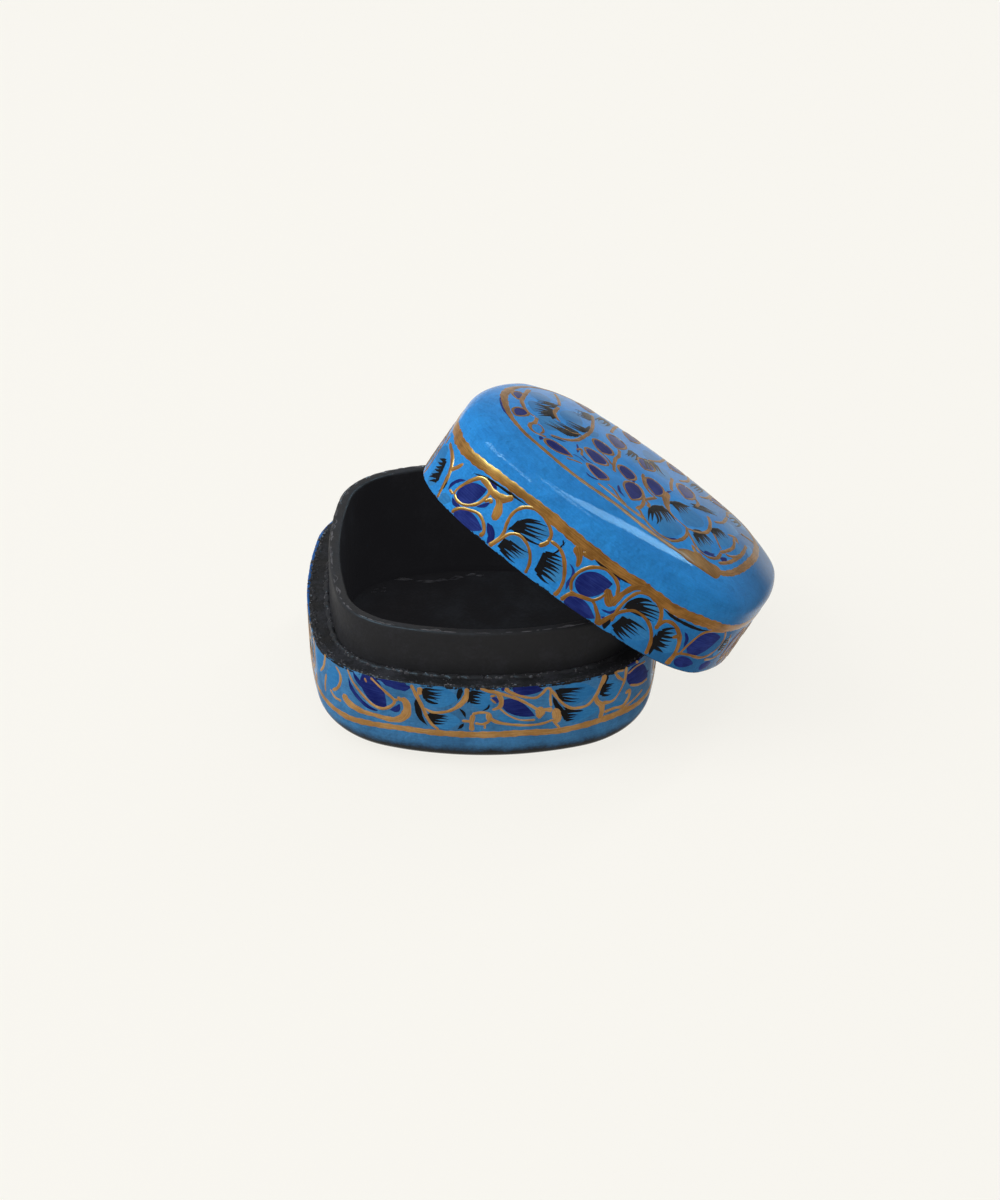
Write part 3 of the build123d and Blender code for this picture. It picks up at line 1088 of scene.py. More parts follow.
# Skirt of the lid: along from the middle of the near end, and height over the rim.
SKIRT_BAND = (
    -34, 10.6, -30, 10.2, -25, 10.2, -20, 10.7, -15, 11.1, -10, 11.3, -6, 11.3, -2, 11, 3, 10.8, 10, 10.5,
    14, 10.6, 18, 10.3, 22, 10, 26, 10.2, 31, 10.3, 38, 10.2, 48, 10.1, 70, 10.5, 95, 10.3, 120, 10.6,
    145, 10.4, 168, 10.6,
)
SKIRT_BAND_WIDTH = (
    2.3, 2.3, 2.1, 1.9, 1.8, 1.7, 2.1, 2.2, 2, 1.8, 1.9, 2, 2, 2.1, 1.7, 1.3, 1.3, 1.8, 1.7, 1.9, 1.7, 2,
)
SKIRT = {
    "petals": (
        (-20.2, 5.4, 6.7, 4, 48), (-17.6, 1.2, 6.8, 3.6, 8), (7.3, 6.1, 6.8, 4.7, 36),
        (7.8, 1.1, 6.4, 3.4, 2), (33, 6.6, 8.9, 4.9, 24), (31, 2, 5.6, 2.4, 4), (40, 1.9, 6.4, 2, 2),
    ),
    "feathers": (
        (-34, 5.8, 5.6, 3.6, -174), (-30.6, 2.9, 5, 4, 91), (-24.2, 1.3, 3.2, 2.2, 19),
        (-6.4, 7.6, 6.2, 4, 20), (-7.4, 3, 6, 4, 6), (-0.4, 4.1, 5.6, 4.4, 170), (17.7, 7.6, 6, 3.6, 10),
        (17.8, 3.2, 6.8, 4.4, 0), (24.4, 4.6, 5.8, 4.2, 150), (42.6, 6.2, 7, 4.2, 20),
    ),
    "navy": (
        ((0.4, 0.9, 0.5), -24.8, 2.5, -24.9, 3.9, -24.1, 5.3, -22.5, 6.6),
        ((0.4, 0.9, 0.6), -18.8, 9.3, -17.3, 9.1, -16.2, 8.6),
        ((0.4, 0.8, 0.4), -17.9, 4.1, -16.7, 5.3, -16, 6.6),
        ((0.4, 0.9, 0.5), -23.2, 2.6, -21.8, 2, -20.2, 2.3),
        ((0.8, 1.5, 1.5, 1.1), -14.7, 3.5, -13.3, 2.8, -12.2, 1.8, -12.2, 0.2),
        ((0.3, 0.5, 0.9, 0.8), 1.2, 6.8, 2.8, 6.2, 3.5, 5.2, 3.6, 3.5, 4, 2.2),
        (0.7, 8.1, 10, 9.4, 9.8, 10.9, 9.1), ((0.5, 1.1, 0.7), 11.5, 2.1, 12.5, 1.9, 13, 0.5),
        ((0.3, 0.6, 0.4), 10.7, 3.1, 12.5, 3.5, 13.4, 4.9),
        ((0.3, 0.8, 0.4), 26.1, 7.4, 27.8, 6.2, 28.5, 4.2),
    ),
    "black": (
        ((0.35, 0.6, 0.5, 0.6, 0.5, 0.4), -22.4, 8.2, -19.6, 9.2, -17.2, 9.6, -14.2, 9.9, -11.6, 10.1,
         -9.6, 10.3),
        ((0.4, 0.5, 0.45, 0.5), 4.2, 9.9, 7, 9.6, 10.2, 9.6, 12.9, 9.7),
        ((0.4, 0.7, 0.6, 0.4), 19.6, 9.2, 22.4, 8.7, 25.8, 8.6, 29.4, 8.7, 32.4, 9.3),
        (0.35, -1.7, 6, -1.1, 7.1, -1.1, 8, -0.9, 9.4), (0.3, -1.5, 9.3, -0.7, 8.5),
        ((0.5, 1.1, 0.7, 0.3), -10.6, 4.4, -9.3, 7, -8.2, 8.5, -6.1, 9.7),
        ((0.6, 1.2, 0.8, 0.4), 13.9, 5.2, 14.9, 7.5, 16.4, 8.8, 18.3, 9.1),
        (0.5, -26.3, 4, -26.2, 2.5, -26.8, 1.2), (0.3, 2.1, 10.6, 2.7, 10.4),
        ((0.7, 1.5, 1.1), 13, 3.4, 12.9, 1.8, 13.4, 0.3), ((0.6, 1.2, 0.8), 21.6, 4.6, 22.4, 2.6, 23, 0.5),
    ),
    "combs": (
        ((-30.2, 6.6, -28.2, 1.8), (-33, 5, -31.2, 1), 7),
        ((-10.6, 4.6, -9.9, 7.6), (-4.7, 6.2, -5.2, 9.4), 6),
        ((-10.4, 0.9, -10.1, 3.6), (-6.6, 0.9, -5.4, 3.8), 6),
        ((-3.2, 6.1, -2.4, 1.2), (-0.1, 6.5, 1.2, 4.4, 0.6, 1.6), 8),
        ((14.1, 5.4, 14.6, 7.4), (19.6, 6.2, 19, 8.8), 5), ((13.9, 1.2, 14.9, 4.8), (17, 0.8, 19, 4.2), 7),
        ((21.6, 5.8, 22.4, 1.8), (24, 6.9, 25.3, 4.6, 24.6, 2.2), 7),
        ((40.6, 8, 41, 4.6), (44.6, 7.6, 44.2, 5), 6),
    ),
    "gold": (
        ((0.7, 1, 1.1, 1, 0.6), -33.5, 8.3, -30.6, 7.8, -28.6, 6.9, -27.2, 5.2, -26.6, 3, -26, 0.3),
        ((1, 0.7), -27.4, 5.6, -26.3, 6.8, -25.4, 8.2), ((0.7, 0.5), -24.7, 3.1, -23.2, 3),
        ((0.55, 0.6, 0.65, 0.8, 1, 0.6, 0.55), -23.1, 3.2, -21.8, 2.7, -20, 3, -18.2, 4.4, -17.4, 6.2,
         -17.4, 7.9, -19.2, 8.8, -20.8, 8.2, -22.4, 5.9, -23.2, 4, -23.1, 3),
        ((0.8, 0.6, 0.6, 0.7, 0.95), -21.2, 0.3, -21, 1.2, -20, 2.2, -18.4, 3, -16.6, 3.5, -15, 2.9,
         -13.9, 1.7, -14.1, 0.5),
        ((0.9, 1.1, 1.4, 1.6, 1.4, 1.2), -20.2, 8.5, -18.4, 8.5, -16.8, 8.1, -15, 8.2, -13.8, 8.9,
         -13.1, 9.9),
        ((1.5, 1.6, 1.7, 1.5), -15.6, 8.4, -14.5, 7.2, -13.9, 5.8, -13.8, 4.3),
        ((0.7, 0.8), -17.2, 5.8, -16.3, 6.9, -16, 6.2),
        ((1, 0.7, 0.65, 0.7, 0.65, 0.65, 0.7, 0.8), -11.7, 0.2, -11, 2, -10.8, 3.8, -11.3, 5.4, -11.5, 7.4,
         -10.8, 9.2, -9.2, 10.4, -7.2, 10.6, -5.2, 10, -3.7, 8.8, -3.4, 7.4),
        ((0.9, 0.9, 0.6), -3.3, 7.7, -3.7, 6.7, -4.4, 5.8),
        (0.62, -11.5, 0.5, -10.6, 2.6, -9.8, 4.3, -8.4, 5.2, -6.6, 5, -5, 4, -3.9, 2.4, -3.5, 0.4),
        ((0.6, 0.7, 0.8, 0.7, 0.7, 0.9), -3.2, 7.8, -1.4, 7.8, 0.2, 7, 1.6, 5.4, 2.7, 3.4, 3, 1.4,
         2.7, 0.3),
        ((2, 1.6, 1.1, 0.6), 1, 10, 2.1, 9.1, 2.9, 8, 3.2, 6.8), ((1.2, 0.7), 2.6, 9.6, 4.9, 9.6),
        ((0.6, 0.65, 0.7, 0.65, 0.7, 0.8), 4.8, 2.8, 3.9, 4.2, 3.9, 6, 5, 8, 7.2, 9.4, 9.4, 9.2, 11, 8.2,
         11.8, 6.6),
        (0.55, 4.6, 2.7, 6.4, 2.8, 8.6, 3.5, 9.7, 4.9, 10, 6.2),
        ((1.3, 1.7, 1.9, 1.6), 9.6, 6.8, 10.6, 5.8, 11.4, 5, 12.2, 4.6),
        ((1.6, 1.2, 1.1, 1.5, 2), 11.8, 4.6, 12.2, 6.8, 12.9, 8.7, 14, 10.3, 16, 11),
        ((0.7, 0.62, 0.65, 0.7, 0.65, 0.8), 13.6, 2.2, 13.3, 4.4, 13.6, 7, 14.6, 9.2, 16.6, 9.9, 18.8, 9.3,
         20.4, 7.8, 21.1, 5.6),
        ((1.1, 0.7, 0.65, 0.7, 0.8), 11.9, 0.4, 12.9, 2.7, 14.3, 5, 16.2, 6.2, 18.6, 5.9, 20.4, 4.7,
         21.7, 2.8, 22.3, 0.4),
        ((0.9, 0.7, 0.65, 0.75, 1.2), 4.2, 0.3, 4.9, 2.2, 6.8, 3, 8.8, 3.5, 10.2, 2.6, 11.3, 1.6,
         11.9, 0.3),
        ((0.6, 0.7, 0.9), 19.4, 9.4, 20.4, 8, 20.9, 6.4, 21, 5.2),
        ((0.9, 0.65, 0.8, 1, 0.9, 1.2), 20.8, 5.3, 21.6, 7.3, 23.4, 7.6, 25.4, 6.6, 26.8, 4.9, 27.5, 2.6,
         27.4, 0.4),
        ((0.9, 0.8), 24.7, 5.3, 26, 6.3),
        ((0.5, 0.55, 0.6, 0.5), 28.4, 3.3, 29, 5.4, 30.2, 8, 32.6, 9.2, 37, 9.5),
        ((0.6, 0.7, 0.6, 0.55), 37.2, 9.6, 39.8, 7.8, 40, 5.9, 38, 4.5, 34.6, 3.6, 31, 3.6, 28.4, 3.3),
        (0.65, 26.9, 0.4, 27.4, 2.3, 28.6, 3.4),
        (0.55, 36.8, 3.3, 41, 3.3, 44.4, 4.2, 44.6, 6.4, 42.4, 8.6),
    ),
}

# Wall of the base: along from the middle of the near end, and height over the table.
BORDER = (
    -36, 6.8, -31, 6.4, -26, 6.2, -21, 6.6, -15, 6.9, -8, 6.8, 0, 6.8, 7, 6.9, 13, 6.6, 18, 6.9, 22, 7.2,
    27, 7.1, 33, 6.8, 50, 6.9, 75, 7, 100, 6.8, 125, 7, 150, 6.8, 172, 7,
)
BORDER_WIDTH = (
    1.1, 1.1, 1.25, 1.2, 1.15, 1.3, 1.4, 1.3, 1.25, 1.3, 1.3, 1.2, 1, 1.1, 1.2, 1.2, 1.2, 1.1, 1.1,
)
WALL = {
    "petals": (
        (-20.1, 13.2, 8, 4.4, -56), (5.8, 11.9, 7, 3, -30), (7.5, 15.8, 5.6, 2.6, -6),
        (31, 12.8, 9, 4.4, -28),
    ),
    "feathers": (
        (-30, 12.8, 5.8, 4.2, 70), (-35.6, 13.6, 6.4, 4.6, 40), (-7.6, 14.2, 6.2, 4.4, 2),
        (-6.8, 9.5, 5.2, 3.8, 2), (-1, 13.9, 4.6, 4, 176), (4.2, 9.9, 4.2, 1.6, -20),
        (16.6, 13.8, 7.4, 4.6, -2), (17.5, 9.5, 6.9, 3.2, 2), (23.4, 12.9, 5.4, 4, 120),
        (25.3, 8.9, 3.6, 1.6, -12),
    ),
    "navy": (
        ((0.5, 1, 1, 0.8, 0.5), -25.8, 15.2, -25, 12.7, -23, 10.8, -20.9, 9.8, -18.6, 9.6),
        ((0.6, 1.1, 1), -24.6, 16.4, -23.6, 14.9, -21.9, 13.4),
        ((0.6, 1.3, 0.7), -17.3, 10.3, -15.9, 10.7, -15.3, 12),
        ((0.8, 1.7, 1.7, 1.2), -19.4, 16.3, -17.1, 15.7, -14.6, 15.4, -12.8, 15.8),
        ((0.7, 1.3, 0.8), 1.2, 14.7, 1.9, 13.8, 2.6, 14), ((1, 0.8), 2.7, 16.3, 3.6, 16),
        ((0.8, 1.1, 0.7), 26.8, 16.4, 29, 16.3, 31.4, 16.2), ((0.8, 0.6), 31, 11.8, 35.6, 11.6),
    ),
    "black": (
        ((0.9, 1.2, 1.1, 0.5), -12.3, 13.6, -12, 11.4, -11.5, 9.6, -10.2, 8),
        ((0.4, 0.6, 0.3), -4.6, 12.1, -3.8, 11.2, -3.5, 10.2),
        ((0.4, 0.6, 0.4), -3.8, 9.1, -4.3, 8.4, -4.9, 7.8),
        ((0.8, 1, 0.5), -4.2, 16.4, -4.6, 15, -4.9, 13.6),
        ((0.5, 0.9, 0.4), -2.3, 15.6, -2.6, 14.5, -3.2, 13.2),
        ((0.3, 0.45, 0.3), 0.7, 13.2, 0.4, 12.3, -0.6, 11.7),
        ((0.5, 1.1, 0.9, 0.5), 11.9, 14, 12.8, 11.8, 14.1, 10.2, 15.6, 8.9),
        ((0.5, 0.6, 0.4), 13.8, 11.4, 15.7, 10.3, 18.2, 9.9), ((1, 0.7), 22.4, 16.2, 21.5, 13.4),
        (0.5, -10.8, 13.4, -9.4, 12.9, -8, 12.9),
    ),
    "combs": (
        ((-11.6, 16, -10.9, 13.2), (-7.8, 15.7, -8.6, 12.9), 6),
        ((-10.6, 10.8, -9.6, 8.4), (-6.9, 10.6, -7.6, 8.8), 5),
        ((-3, 16.1, -3, 13.2), (-0.4, 15.4, -1.2, 13.3), 5),
        ((12.2, 15.6, 13.2, 12.6), (16.8, 14.8, 15.9, 12.2), 6),
        ((13, 11, 14.4, 8.2), (16.4, 10.2, 15.9, 8.5), 5), ((21, 14.6, 20.9, 12), (23.4, 14, 22.9, 12), 5),
    ),
    "gold": (
        ((0.6, 0.7, 0.6), -32.3, 16.5, -32.8, 14.8, -33.6, 13.2, -35.2, 11.6),
        ((0.4, 0.65, 0.7, 0.6), -29, 15.6, -27.8, 14.4, -27.8, 12.9, -28.8, 11.2, -30.4, 10),
        (0.6, -32.4, 12.4, -33.1, 10.2, -33.2, 8.4), (0.6, -31.2, 9.8, -29.8, 8.9, -27.8, 8.9),
        ((1.5, 1.6, 1.5, 1, 0.95, 1, 1.25, 1.6, 1.6, 1.5, 1.3), -27.2, 10.7, -26.2, 9.5, -24.4, 8.9,
         -22.4, 8.6, -20.2, 8.6, -18.2, 8.4, -16.4, 8.4, -14.9, 9.1, -14, 10.5, -14.1, 12.2, -15, 13.2),
        ((1.4, 1.1), -15, 13.1, -15.7, 12.7),
        ((0.4, 0.55, 0.65, 0.65, 0.6, 0.55, 0.5), -25.8, 16.3, -24.8, 14.3, -22.8, 12.3, -20.6, 10.7,
         -18.6, 10.3, -17, 11.1, -16.3, 12.4, -18, 13.9, -19.6, 15.2, -20.8, 16.2),
        (0.5, -22, 15.8, -21.6, 14.9), ((0.5, 0.7), -16.6, 12.5, -15.6, 12.6),
        ((0.7, 0.8, 0.7, 0.5), -13.2, 16.2, -12.2, 14, -11.3, 12.1, -10.4, 10, -9.4, 8.4, -8.2, 7.4),
        ((1.3, 1), -11.5, 15.9, -11.7, 14.2),
        ((0.5, 0.55, 0.6, 0.7, 1, 1.1, 0.8), -11, 11.7, -9.4, 11, -7.6, 11.1, -5.8, 11.8, -4.2, 13.2,
         -3.3, 14.8, -3.3, 16.4),
        (0.55, -2.4, 11, -0.8, 11.4, 0.7, 11.1, 0.8, 9.8, -0.4, 9, -1.9, 9.2),
        (0.95, -2.1, 11, -2.4, 9.6, -2.4, 7.5), (0.6, -4.2, 9.6, -2.4, 9.5),
        ((1, 0.9, 0.5), 0.7, 11.4, 0.5, 10.4, 0.8, 9.4), (0.45, -0.1, 9, -0.1, 8),
        ((0.9, 0.55, 0.5, 0.5), 0.5, 10.5, 2, 9.4, 5, 8.7, 8.4, 8.4, 10.6, 8.6, 12.2, 9.1),
        ((0.5, 0.65, 0.9, 1, 0.8, 0.5), -1, 16.4, 0.4, 15.8, 1.8, 15.5, 2.6, 14.4, 2.8, 13.1, 2.2, 12.3,
         1.1, 11.9),
        (0.4, 0.8, 14.3, 1.9, 13.2), (0.5, 0.8, 14.7, 1.8, 14.9),
        ((0.7, 0.6, 0.6), 1.6, 15.6, 3.8, 14.8, 5.8, 13.9, 7.8, 12.6, 9.2, 11.5),
        ((0.5, 0.35, 0.35, 0.5), 2.5, 12.2, 4.2, 10.6, 6.3, 9.6, 8.9, 9.4),
        ((1, 0.6, 0.5, 0.55, 0.6), 3.4, 16.4, 4.2, 15.5, 5.8, 14.7, 7.6, 14.1, 9, 14, 10.1, 14.8,
         10.9, 15.7, 11.8, 15.3),
        ((1.6, 1.8, 1.3), 9, 11.8, 9.7, 11, 9.4, 9.7), ((1.1, 0.9, 1.2), 9.4, 11.2, 10.8, 11.3, 12, 11.1),
        ((1.6, 2, 1.6, 0.7), 12.3, 11.4, 12.8, 10.1, 12.6, 8.9, 11.9, 8.8), (0.5, 12.2, 8.7, 13.4, 7.1),
        ((0.8, 0.5), 9.4, 9.6, 10.6, 11), (0.5, 11.6, 15.2, 11.5, 13.5, 11.7, 11.8),
        ((0.55, 0.6, 0.6, 0.7, 0.9), 11.2, 15.7, 12.2, 14.4, 13.6, 12.4, 15.2, 11, 17, 10.7, 18.6, 11,
         20, 12.4, 21, 14.3, 21.7, 16.4),
        ((0.9, 1.2, 0.9), 21, 14.3, 21.6, 15.4, 21.8, 16.4),
        ((0.8, 0.9, 1.2, 1.2, 0.9), 20, 12.6, 20.4, 11.2, 21.3, 10.3, 21.5, 9.1, 21.1, 7.4),
        ((0.9, 0.55, 0.5, 0.55, 0.8, 1), 21.4, 10.6, 23.8, 10.4, 25.5, 11.9, 26.6, 14, 26.7, 16.3),
        ((0.5, 0.6, 0.5), 23.9, 16.3, 24.9, 14.8, 26.5, 13.5), (0.5, 24.2, 16.2, 26.2, 15.8),
        ((0.6, 0.7, 1, 0.8), 21.9, 8.6, 24.2, 8.7, 26.4, 8.4, 27.9, 9.6, 28, 10.8, 26.8, 10.8),
        (0.5, 21.8, 7.6, 25, 7.6, 28.6, 8.2, 32.6, 9), (0.55, 28, 12, 31, 10.8, 34.6, 10.2),
        (0.45, 27.2, 14.6, 29.6, 15.1, 33, 14.6), (0.6, 29.3, 16.4, 30.2, 15.6),
    ),
}

# Top of the lid, seen from above: x to the right and y away, from the middle of the lid.
TOP_RING = (
    -28.4, 5, -27.9, -2.5, -26.6, -8.5, -24.8, -14.6, -22.2, -20.6, -18.6, -24.6, -14, -26.7, -8.8, -28.3,
    -4, -28.8, 2, -28.5, 7.5, -28.7, 12.4, -28, 16.8, -26.8, 20.4, -24.9, 22.9, -20.8, 24.3, -15.9,
    25.1, -8, 25.3, 2, 24.9, 11.5, 23, 20, 18.2, 25.9, 9.5, 28.8, -1, 29.6, -12, 28.4, -20.8, 24.6,
    -26, 18.4, -28, 11.5,
)
TOP_RING_WIDTH = (
    1.6, 1.5, 1.35, 1.1, 1.1, 1.15, 1.2, 1.25, 1.3, 1.3, 1.3, 1.3, 1.4, 1.5, 1.6, 1.5, 1.3, 1.2, 1.2, 1.2,
    1.2,
)
TOP_MASS = (
    15, -27.4, 15.6, -25.2, 17.3, -23.1, 19, -21.7, 20.8, -20.8, 22.4, -19, 23.4, -20.4, 23.4, -23.8,
    21.8, -25.4, 19.9, -26.5, 17.4, -27.7,
)
TOP = {
    "outlined": (
        (-26.2, 1.2, 8, 1.9, -80), (-22.7, -13.2, 7.4, 2.6, -86), (-12.6, -22.2, 5.4, 4, 7),
        (-8, -0.8, 8, 4.3, -84), (-7.4, 10.4, 7.6, 4, -81), (-7.2, -11, 7.8, 4.6, -83),
        (-4.6, -20.6, 6.2, 4.3, -73), (-1.4, -6.2, 8, 3.7, -80), (2, -15.6, 12.6, 3.8, -82),
        (3.9, -2, 10.2, 4, -77), (8.1, 11, 8.6, 3.8, -80), (-0.6, 9.6, 7, 3.4, -84),
        (-16.6, 21.8, 6.2, 3.2, -70), (-6.6, 22.6, 6.6, 3.6, -84), (3.2, 23.4, 6.2, 3.4, -96),
        (13.4, 21.4, 6, 3.4, -112),
    ),
    "petals": ((-16.1, -22.9, 2, 0.9, -82), (22, -12.5, 4.2, 1.4, 86), (19.6, -17.2, 4.2, 1.2, 60)),
    "feathers": (
        (-23.2, 7.8, 10, 4.2, -78), (-22, -3, 10.2, 3, -80), (-16.2, 5.6, 12.3, 5, 94),
        (-17.6, -10.8, 11.4, 5, -83), (-11.4, 4.4, 7, 2.4, 80), (-3.2, 9, 8, 3, -77),
        (2.4, 13.1, 7.4, 4.4, 88), (10.8, -20.6, 13.4, 6.2, -80), (12.4, -4.9, 14.4, 5.9, -85),
        (17.4, -15.2, 10, 4.4, 94), (19, -2.1, 10.4, 4, -86), (18.7, 9.3, 8.6, 3.6, -86),
        (22.4, 1.4, 6.4, 2, -80), (23.8, 8, 7.4, 1.8, -81), (13.2, 12.9, 8, 4.4, -77),
        (-12.4, 18.2, 8.4, 4, -86), (8.4, 20.6, 7.4, 4, -100), (18.8, 18.2, 6.8, 3.4, -106),
        (-1.6, 18, 6.8, 3.6, -90), (-21.4, 15.6, 7, 3, -76),
    ),
    "navy": (
        (0.5, -28.3, -3.5, -27.1, -9.5, -25.1, -16, -22.3, -21.6),
        (0.6, -10.2, -20.4, -8.9, -19.4, -7.4, -19.9), (0.9, -9.2, -16, -7.8, -17.4, -6.3, -16.6),
        (0.7, -6.2, -24.4, -4.9, -25.1, -3.3, -24), (0.8, -0.6, -18.4, 0.5, -21.9, 2.3, -23.4),
        (0.7, 16.2, -19.4, 17.8, -20, 19.3, -18.4, 20.2, -14.4), (0.6, 10.6, -27, 12.5, -26, 13.9, -23.4),
        (0.6, -11.4, -10.8, -10.4, -14.4, -9.8, -17.6), (0.6, 0.2, -3.2, 0.6, -8.6, 1.8, -12.2),
        (0.6, 6.3, 4.6, 6, 1.6, 6.6, -2),
    ),
    "black": (
        ((0.5, 1.5, 1.7, 0.8), -16.9, -8.6, -15.2, -9.6, -13.6, -8, -12.4, -3),
        (0.6, -15.7, -19, -14.2, -17.9, -12.6, -15.2), ((0.8, 1.8, 1.2), 7.6, -6, 8.9, -1, 10.8, 3.2),
        ((0.8, 1.5, 0.9), 10.8, 3.8, 12.8, 8.2, 15.4, 11.2),
        ((0.6, 1.1, 0.7), 14.2, -13, 15.4, -9, 16.6, -7.4),
        ((0.6, 1.2, 0.8), 16.4, -4.4, 17, 0.4, 18.6, 3.8),
        ((0.7, 1.6, 1), -19.4, 1.8, -18.6, -2.8, -17.8, -6),
        ((0.5, 1, 0.6), -13.6, 0.4, -12.6, 4, -13, 8.8),
    ),
    "combs": (
        ((-19.9, 3.6, -18.3, -3.6), (-22.6, 0.6, -20, -8.8), 7),
        ((-19.9, 9.3, -19.6, 4.6), (-22.9, 4.4, -22, 0.1), 4),
        ((-12, -1, -13.4, -11), (-16.4, -4.6, -17.8, -12.4), 7),
        ((-12, 5.6, -12.4, 0), (-15.6, 1.4, -15.4, -2.8), 5),
        ((-14.4, 18.1, -13.4, 12.4), (-16.9, 14.1, -16.2, 9.7), 5),
        ((6, -18.6, 6.2, -14.6, 7.8, -9), (7.8, -25.2, 8.8, -22.6, 10.8, -14.6), 9),
        ((7.6, -3.8, 9, 1.4), (10.4, -6.4, 11.2, 0.4), 6),
        ((14.6, -14.6, 15.6, -7.4), (17.2, -17.4, 18.4, -9.4), 7),
        ((15.6, -3, 17.4, 4), (18.2, -4.2, 19.4, 2), 6), ((10, 4.6, 11.6, 10.2), (13.4, 7.4, 14.4, 12), 6),
        ((-2.2, 13.2, 0.2, 16.6), (-0.2, 8.6, 2.6, 12.6), 5),
        ((-5, 12.4, -2.6, 12.6), (-4.6, 7.2, -2.6, 7.8), 4),
        ((7.6, 24.2, 10, 23.6), (7.6, 18.6, 9.6, 18.4), 5),
        ((17.6, 21.4, 19.6, 20.4), (17.2, 16.6, 18.8, 15.6), 4),
        ((-13.4, 22.2, -11, 22), (-13.4, 16.8, -11.4, 17.2), 4),
    ),
    "gold": (
        (0.9, -26.2, 12, -25.4, 3, -24.6, -3, -23, -8.1, -21.5, -10.8, -20, -11.2),
        ((0.8, 0.9, 0.8, 0.9), -19.8, -11.4, -19.2, -15.9, -19.5, -18, -19, -20.5, -17.6, -21.8,
         -15.6, -20.8),
        (0.5, -18.7, -15.5, -17.6, -16.4, -16.8, -18.6, -16.8, -20.8),
        ((0.8, 1, 0.8), -19.4, 6.8, -19, 1, -18, -2.2, -16.8, -4.2),
        (0.85, -14.4, 17.4, -12.7, 10.2, -11.9, 4, -11.8, -3, -12, -9, -13.3, -14.5, -15.4, -18.2),
        (0.5, -15.1, -6.9, -13.7, -6, -12.6, -3.1), (0.6, -10.4, -15.6, -10, -12.6, -9.5, -14.4, -9, -17),
        (0.6, -10.3, -24.4, -9, -23, -7.6, -21.8), (0.7, -8.9, -3.6, -7.1, -4.9, -5.3, -6.3, -4.4, -8),
        (0.8, -5.9, 6.6, -5, 2.3, -4.9, -1.7, -4, -7.4, -3, -11.4), (0.7, 0.5, 2, 1.4, -2.2, 3.1, -5.6),
        (0.7, -1.9, -22.9, -0.3, -23.4, 1.4, -25.2, 3.2, -26),
        ((0.8, 1, 1.1), -3.2, -25.6, 0.2, -25.9, 4, -26.4, 7.6, -26),
        (0.75, 5.2, -23.8, 7.4, -26.2, 10.4, -27.2, 13.2, -25.9, 14.3, -22.4, 14.3, -18, 13.4, -13.8),
        (0.8, 1.1, -8.6, 2.6, -10, 4.2, -14.6, 5.1, -20.6, 4.9, -24.6),
        (0.8, 4.4, -15.8, 5, -12, 5.5, -8.2), (0.8, 4.5, -15.6, 5.6, -16.2, 6, -19),
        (0.8, 0.7, 0.3, 2.1, -4.4, 3.8, -7.6, 5.4, -8.6),
        ((1.2, 1.8, 1.6, 0.9), 6, 1.4, 6.6, -3, 7.5, -7, 8.7, -10.8),
        (0.7, 8.4, -10.1, 10.2, -12.5, 12.2, -13.3, 14, -13.8),
        (0.85, 13.6, -13.6, 15.2, -11.2, 16.2, -7.1, 16.2, -2.6, 15.3, 2.4, 14.2, 5.6),
        (0.8, 4.4, 14, 5.2, 9, 6.2, 4.8), (0.8, 9.8, 11.8, 11.2, 9.6, 11.4, 6),
        (0.75, 13.9, -15.6, 15.2, -17.8, 17.4, -20.4, 19.6, -19.8, 20.9, -16, 20.8, -11),
        (1.1, 16.4, -20.8, 17.5, -22.4, 18.9, -21.5), (0.6, 17.3, -3.4, 18.8, -6.2, 20.3, -9),
        (0.75, 20.6, -10.9, 21.3, -5, 21.4, 0.4, 20.3, 6.2),
        (0.75, 21.5, -9.1, 22.8, -5.4, 23.4, 1, 22.8, 9),
        (0.8, 21.8, -17.2, 22.9, -11, 23.4, -2, 23.2, 3.6), (0.8, 24.4, 19, 22.6, 16.4, 20.4, 13.3),
        (0.7, 19.2, 4.4, 20.4, 7.1, 21.5, 4.9), (0.7, 16.6, 15.6, 16.8, 9.6, 15.8, 5),
        (0.7, -22.6, 19.2, -20.8, 13.6, -19.6, 8.6), (0.7, -10.2, 26.4, -10, 19.8, -9.6, 14.8),
        (0.7, 0.4, 27, 0.4, 20, -1, 14.6), (0.7, 5.8, 26.6, 6.6, 20.6, 5.6, 16),
        (0.7, 11.4, 24.6, 11.4, 18.6, 10.4, 15.4), (0.7, 16.4, 23.6, 16, 19.6, 16.6, 16.2),
    ),
}

# Rubbed places on the inside floor, which are also painted glints where the floor meets the collar: x, y and
# length.
SCUFFS_AND_GLINTS = (
    (-18.8, 24.2, 1.6), (-14.6, 27.8, 3), (-10, 27.5, 4.6), (-7.2, 27.9, 2), (-3.8, 28.8, 2.2),
    (-1.4, 29.4, 1.8),
)

